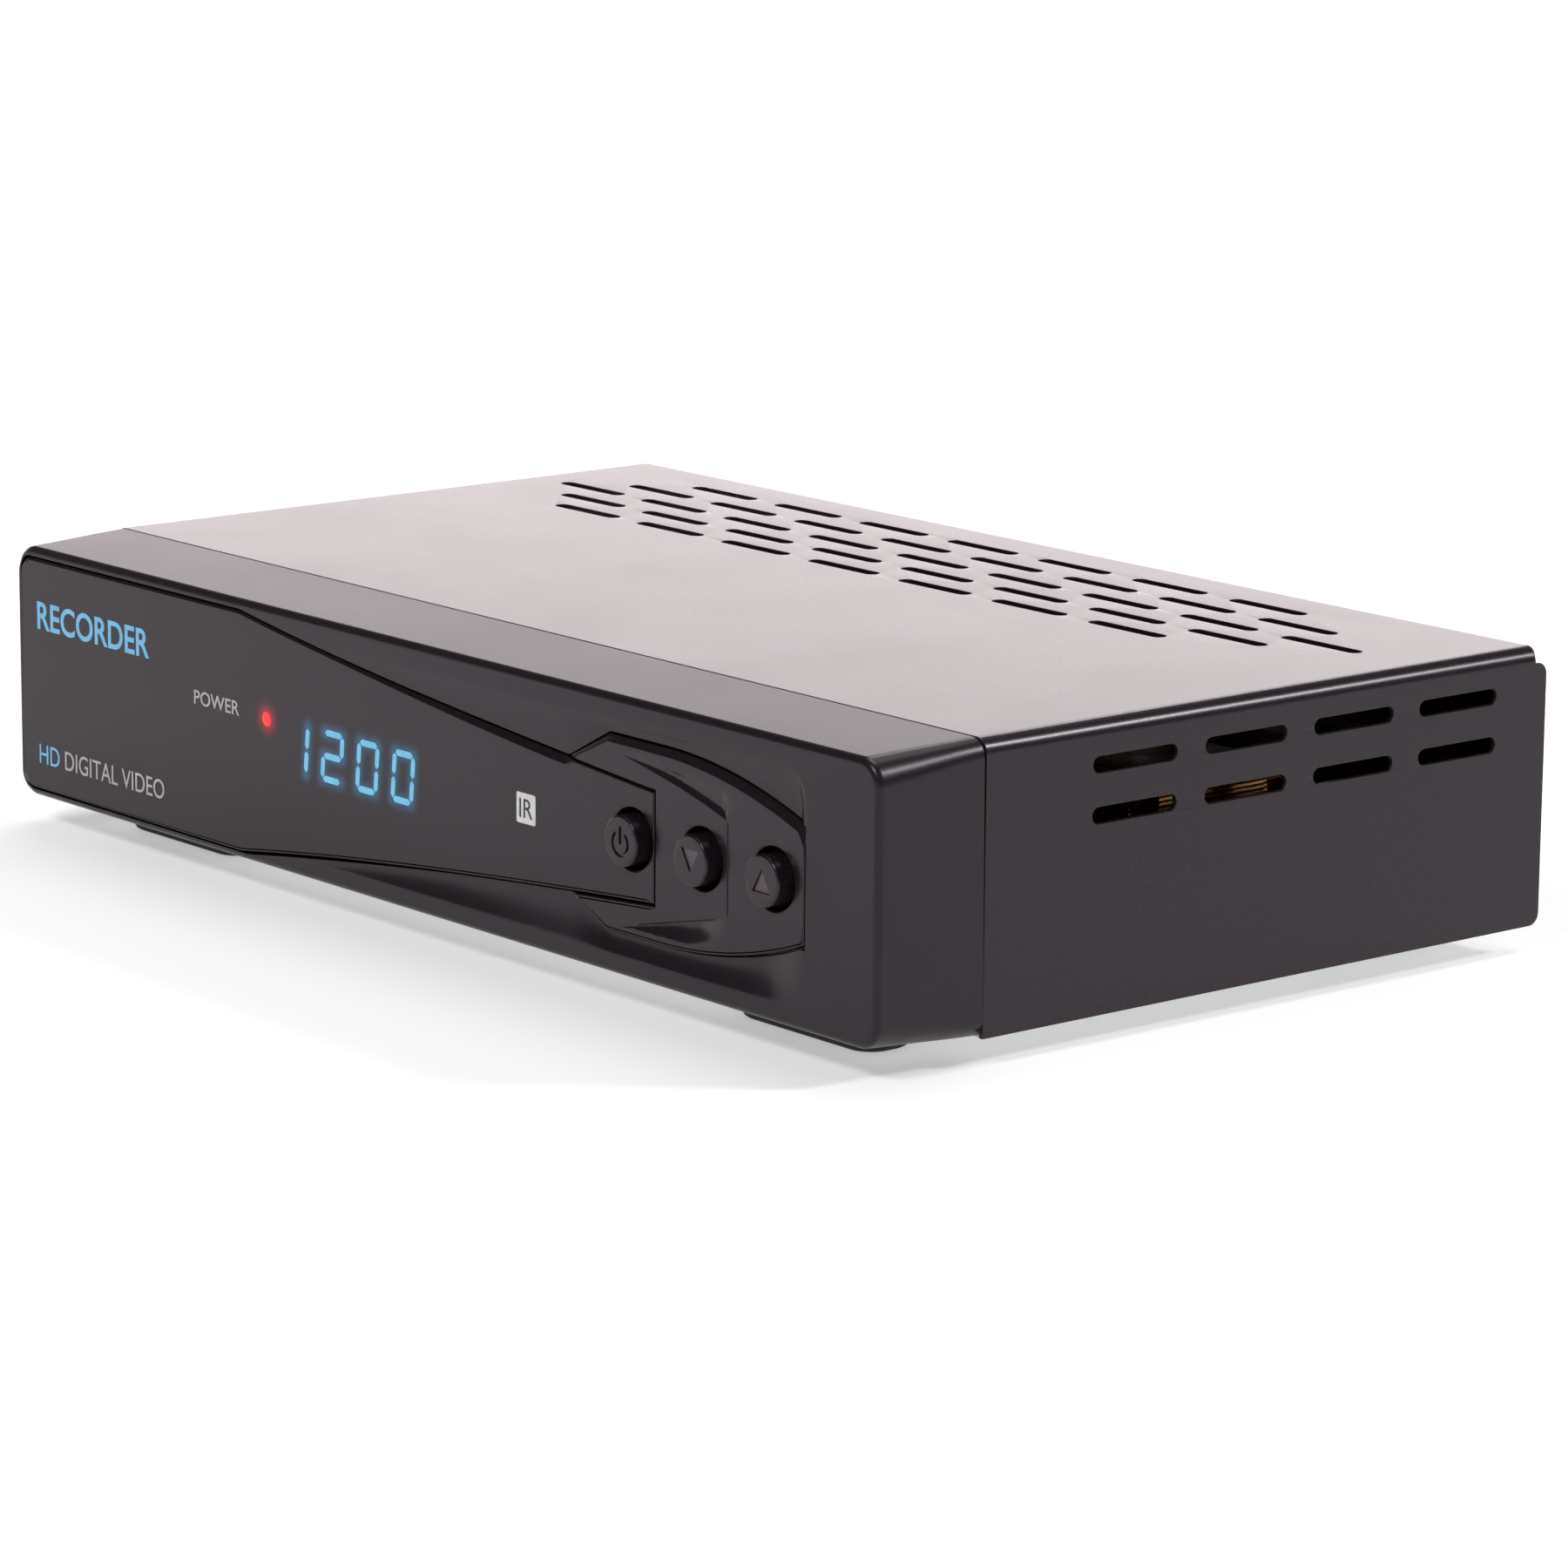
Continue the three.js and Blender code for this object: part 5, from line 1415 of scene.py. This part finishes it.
def inlet_pins():
    """Bright round pins over the inlet's own."""
    x, z = middle_of("mains_inlet")
    for index, aside in enumerate((-PIN_ASIDE, PIN_ASIDE)):
        s = Surface()
        lathe(s, (x + aside, z), PIN, 24, BOTH_ENDS)
        s.finish(f"inlet_pin_{index + 1}", MATERIALS["nickel"])


# The rocker at rest: its tilt, its pivot, and a face's two ends as (out, along) from the pivot.
ROCKER_TILT = math.radians(10)
ROCKER_PIVOT = {"inward": 1.4, "height": 19.0}
ROCKER_VALLEY, ROCKER_END = (2.2, 0.0), (4.1, 8.5)
MARK_LIFT = {"top": 0.05, "base": 0.01}
ON_BAR = {"x": (-0.35, 0.35), "along": (3.4, 6.4), "corner": 0.2}
OFF_RING = {"along": 4.9, "outer": 1.6, "inner": 1.0}


def on_rocker(x, along, side, lift):
    """A point on a rocker face: along its length from the valley, lifted off the face."""
    low, high = span("mains_rocker")
    slope = Vector(ROCKER_END) - Vector(ROCKER_VALLEY)
    slope.normalize()
    y = ROCKER_VALLEY[0] + slope.x * along + slope.y * lift
    z = side * (slope.y * along - slope.x * lift)
    pivot = Vector((PANEL_REAR - ROCKER_PIVOT["inward"], ROCKER_PIVOT["height"]))
    turned = (y * math.cos(ROCKER_TILT) - z * math.sin(ROCKER_TILT),
              y * math.sin(ROCKER_TILT) + z * math.cos(ROCKER_TILT))
    return ((low.x + high.x) / 2 + x, pivot.x + turned[0], pivot.y + turned[1])


def rocker_mark(name, side, *outlines):
    """A printed mark on one face of the rocker; a second outline is the hole in it. Its glow is painted
    light.
    """
    s = Surface()
    tops, bases = [], []
    for outline in outlines:
        tops.append(s.points([on_rocker(x, along, side, MARK_LIFT["top"]) for x, along in outline]))
        bases.append(s.points([on_rocker(x, along, side, MARK_LIFT["base"]) for x, along in outline]))
        s.band(tops[-1], bases[-1])
    s.fill(*tops)
    s.fill(*bases)
    s.finish(name, MATERIALS["pale_mark_painted_glow"], body="mains_rocker")


def rear_details():
    for node in ("aerial_input", "aerial_loop_output"):
        aerial_connector(node)
    phono_jacks()
    inlet_pins()
    rocker_mark("rocker_on_mark", 1, rounded_rectangle(ON_BAR["x"], ON_BAR["along"], ON_BAR["corner"], 3))
    rims = [circle((0, OFF_RING["along"]), OFF_RING[rim], 28) for rim in ("outer", "inner")]
    rocker_mark("rocker_off_mark", -1, *rims)
    line_sockets()


# Sockets whose inside has its own look: the wall's thickness and the material.
LINED = {"network_socket": (1.5, "dark"), "hdmi_socket": (0.55, "dark"), "usb_socket": (0.55, "cable"),
         "optical_audio_socket": (2.1, "rubber"), "mains_inlet": (3.5, "rubber")}
LINED_DEPTH = {"from": 0.5, "short_of": 0.05}


def line_sockets():
    """The inside of each socket gets its own material; the shape of the node stays as it is."""
    for name, (wall, finish) in LINED.items():
        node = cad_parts[name]
        low, high = span(name)
        node.data.materials.append(MATERIALS[finish])
        for polygon in node.data.polygons:
            at = (node.matrix_world @ polygon.center - CASE_ORIGIN) / MM
            inside = low.x + wall < at.x < high.x - wall and low.z + wall < at.z < high.z - wall
            if inside and low.y + LINED_DEPTH["from"] < at.y < high.y - LINED_DEPTH["short_of"]:
                polygon.material_index = 1


# ---------------------------------------------------------------- carried-over pieces
SWITCHES = ["power_switch", "down_switch", "up_switch"]
SCREWS = [f"cover_screw_{place}" for place in ("left", "centre", "right")]
SCREWS += [f"main_board_screw_{index}" for index in range(1, 5)]
SCREWS += [f"power_board_screw_{index}" for index in range(1, 3)]
NODE_EDGE = 0.00018
NODE_FINISH = {
    "steel": ["chassis_tray", "disk_bracket"] + [name + "_body" for name in SWITCHES] + SCREWS,
    "cover": ["rear_panel"],
    "board": ["display_board", "main_board", "power_board"],
    "dark": ["system_chip", "infrared_receiver", "optical_audio_socket", "mains_inlet",
             "mains_switch_housing", "mains_rocker"] + [name + "_plunger" for name in SWITCHES],
    "aluminium": ["heat_sink", "hard_disk", "rectifier_heat_sink"],
    "nickel": ["tuner_can", "aerial_input", "aerial_loop_output", "network_socket", "hdmi_socket",
               "usb_socket"],
    "gold": ["phono_sockets"],
    "winding": ["transformer", "mains_choke"],
    "sleeve": ["bulk_capacitor", "output_capacitor"],
    "cable": ["front_ribbon_cable", "disk_cable", "power_harness"],
    "ceramic": ["fuse"],
    "lit_blue": ["digit_display"],
    "lit_red": ["power_light"],
}


def dress_frame():
    """Gives every carried-over CAD node its material and a small edge rounding.

    The nodes' own meshes stay as they are; the rounding is a modifier."""
    for finish, nodes in NODE_FINISH.items():
        for name in nodes:
            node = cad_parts[name]
            node.data.materials.clear()
            node.data.materials.append(MATERIALS[finish])
            bevel = node.modifiers.new("edge", "BEVEL")
            bevel.width = NODE_EDGE
            bevel.segments = 2
            bevel.limit_method = "ANGLE"
            bevel.angle_limit = math.radians(35)


# ---------------------------------------------------------------- studio
WHITE = (1, 1, 1, 1)
FLOOR_GLOW = 0.43
FLOOR_PATCHES = 0.4
FLOOR_TONES = ((0.74, 0.74, 0.74, 1), (0.76, 0.76, 0.76, 1))
FLOOR_RINGS = (0.01, 1.0, 6.0, 40.0)
FLOOR_SIDES = 48


def studio_floor():
    """A wide pale disc, in metres, that keeps the recorder's shadow soft."""
    s = Shader("studio_floor")
    tone = s.blend(s.ranged(s.noise(FLOOR_PATCHES), 0, 1), *FLOOR_TONES)
    s.set(Base_Color=tone, Roughness=0.9, Specular_IOR_Level=0.1)
    s.set(Emission_Color=WHITE, Emission_Strength=FLOOR_GLOW)
    disc = Surface()
    rings = [disc.points([(x, y, 0) for x, y in circle((0, 0), radius, FLOOR_SIDES)])
             for radius in FLOOR_RINGS]
    disc.face(rings[0])
    disc.stack(rings)
    bmesh.ops.recalc_face_normals(disc.mesh, faces=disc.mesh.faces)
    data = bpy.data.meshes.new("studio_floor")
    disc.mesh.to_mesh(data)
    disc.mesh.free()
    data.materials.append(s.material)
    put("studio_floor", data)


WALL_LIGHT = 4.55
WALL_COLOUR = (1.0, 0.91, 0.915, 1)
WALL_WIDTH = {"towards": (-0.72, 0.69, 0.0), "inner": 0.80, "outer": 0.45}
WALL_HEIGHT = {"towards": (0, 0, -1), "inner": -0.02, "outer": -0.41}
ROOM_LIGHT = 0.04
# Each lamp's direction, the cosines between which it fades from full to 0, and its strength.
LAMPS = {
    "on_the_panel": {"towards": (0.5, 0.63, 0.58), "inner": 0.9985, "outer": 0.994, "height": 64.0},
    "on_the_rims": {"towards": (-0.56, 0.63, 0.47), "inner": 0.9985, "outer": 0.995, "height": 8.0},
    "in_front": {"towards": (0.17, -0.67, 0.72), "inner": 0.994, "outer": 0.986, "height": 22.0},
    "ceiling": {"towards": (-0.25, 0.3, 1), "inner": 0.975, "outer": 0.93, "height": 3.6},
}


def studio_world():
    """A dim room with a bright low wall behind the recorder, a soft ceiling and three small lamps."""
    world = bpy.data.worlds.new("studio")
    bpy.context.scene.world = world
    n = Nodes(world)
    direction = n.add("ShaderNodeTexCoord").outputs["Generated"]

    def lobe(towards, inner, outer, height):
        """height near a direction, fading to 0 between two cosines."""
        dot = n.add("ShaderNodeVectorMath", operation="DOT_PRODUCT")
        n.give(direction, dot.inputs[0])
        n.give(Vector(towards).normalized(), dot.inputs[1])
        fade = n.add("ShaderNodeMapRange", interpolation_type="SMOOTHSTEP")
        n.feed(fade, Value=dot.outputs["Value"], From_Min=outer, From_Max=inner, To_Max=height)
        return fade.outputs["Result"]

    def glow(colour, strength):
        return n.feed(n.add("ShaderNodeBackground"), Color=colour, Strength=strength).outputs[0]

    wall = n.math("MULTIPLY", lobe(**WALL_WIDTH, height=WALL_LIGHT), lobe(**WALL_HEIGHT, height=1.0))
    first, *others = [lobe(**lamp) for lamp in LAMPS.values()]
    room = first
    for lamp in others:
        room = n.math("ADD", room, lamp)
    room = n.math("ADD", room, ROOM_LIGHT)
    lit = n.add("ShaderNodeAddShader")
    n.give(glow(WALL_COLOUR, wall), lit.inputs[0])
    n.give(glow(WHITE, room), lit.inputs[1])
    choice = n.add("ShaderNodeMixShader")
    n.give(n.add("ShaderNodeLightPath").outputs["Is Camera Ray"], choice.inputs[0])
    n.give(lit.outputs[0], choice.inputs[1])
    n.give(glow(WHITE, 1.0), choice.inputs[2])
    n.feed(n.add("ShaderNodeOutputWorld"), Surface=choice.outputs[0])


# The camera's aim: turn and height round the recorder, its slight roll, and where it looks.
CAMERA = {"turn": 50.202, "rise": 12.232, "roll": 0.459, "distance": 980.987, "aim": (43.683, 18.469)}
LENS_MM = 140.28


def studio_camera():
    """Stands the camera back from the point it looks at, which lies in the case's middle plane."""
    turn, rise, roll = (math.radians(CAMERA[key]) for key in ("turn", "rise", "roll"))
    back = Vector((math.sin(turn) * math.cos(rise), -math.cos(turn) * math.cos(rise), math.sin(rise)))
    right = Vector((math.cos(turn), math.sin(turn), 0))
    up = back.cross(right)
    across = right * math.cos(roll) + up * math.sin(roll)
    upright = up * math.cos(roll) - right * math.sin(roll)
    place = back * CAMERA["distance"] + across * CAMERA["aim"][0] + upright * CAMERA["aim"][1]
    data = bpy.data.cameras.new("camera")
    data.lens = LENS_MM
    data.sensor_width = 36.0
    data.clip_start = 0.05
    data.clip_end = 100.0
    camera = put("camera", data)
    axes = Matrix((across, upright, back)).transposed().to_4x4()
    camera.matrix_world = Matrix.Translation(to_row(place)) @ axes
    bpy.context.scene.camera = camera


def studio():
    studio_floor()
    studio_world()
    studio_camera()
    bpy.context.scene.view_settings.view_transform = "Standard"


# ---------------------------------------------------------------- the whole recorder
studio()
dress_frame()
front_bezel()
display_lens()
button_panel()
for cap_name, cap_x in zip(BUTTON_NAMES, BUTTON_X):
    button_cap(cap_name, cap_x)
display_digits()
power_lamp()
printed_marks()
infrared_mark()
top_cover()
feet()
rear_details()
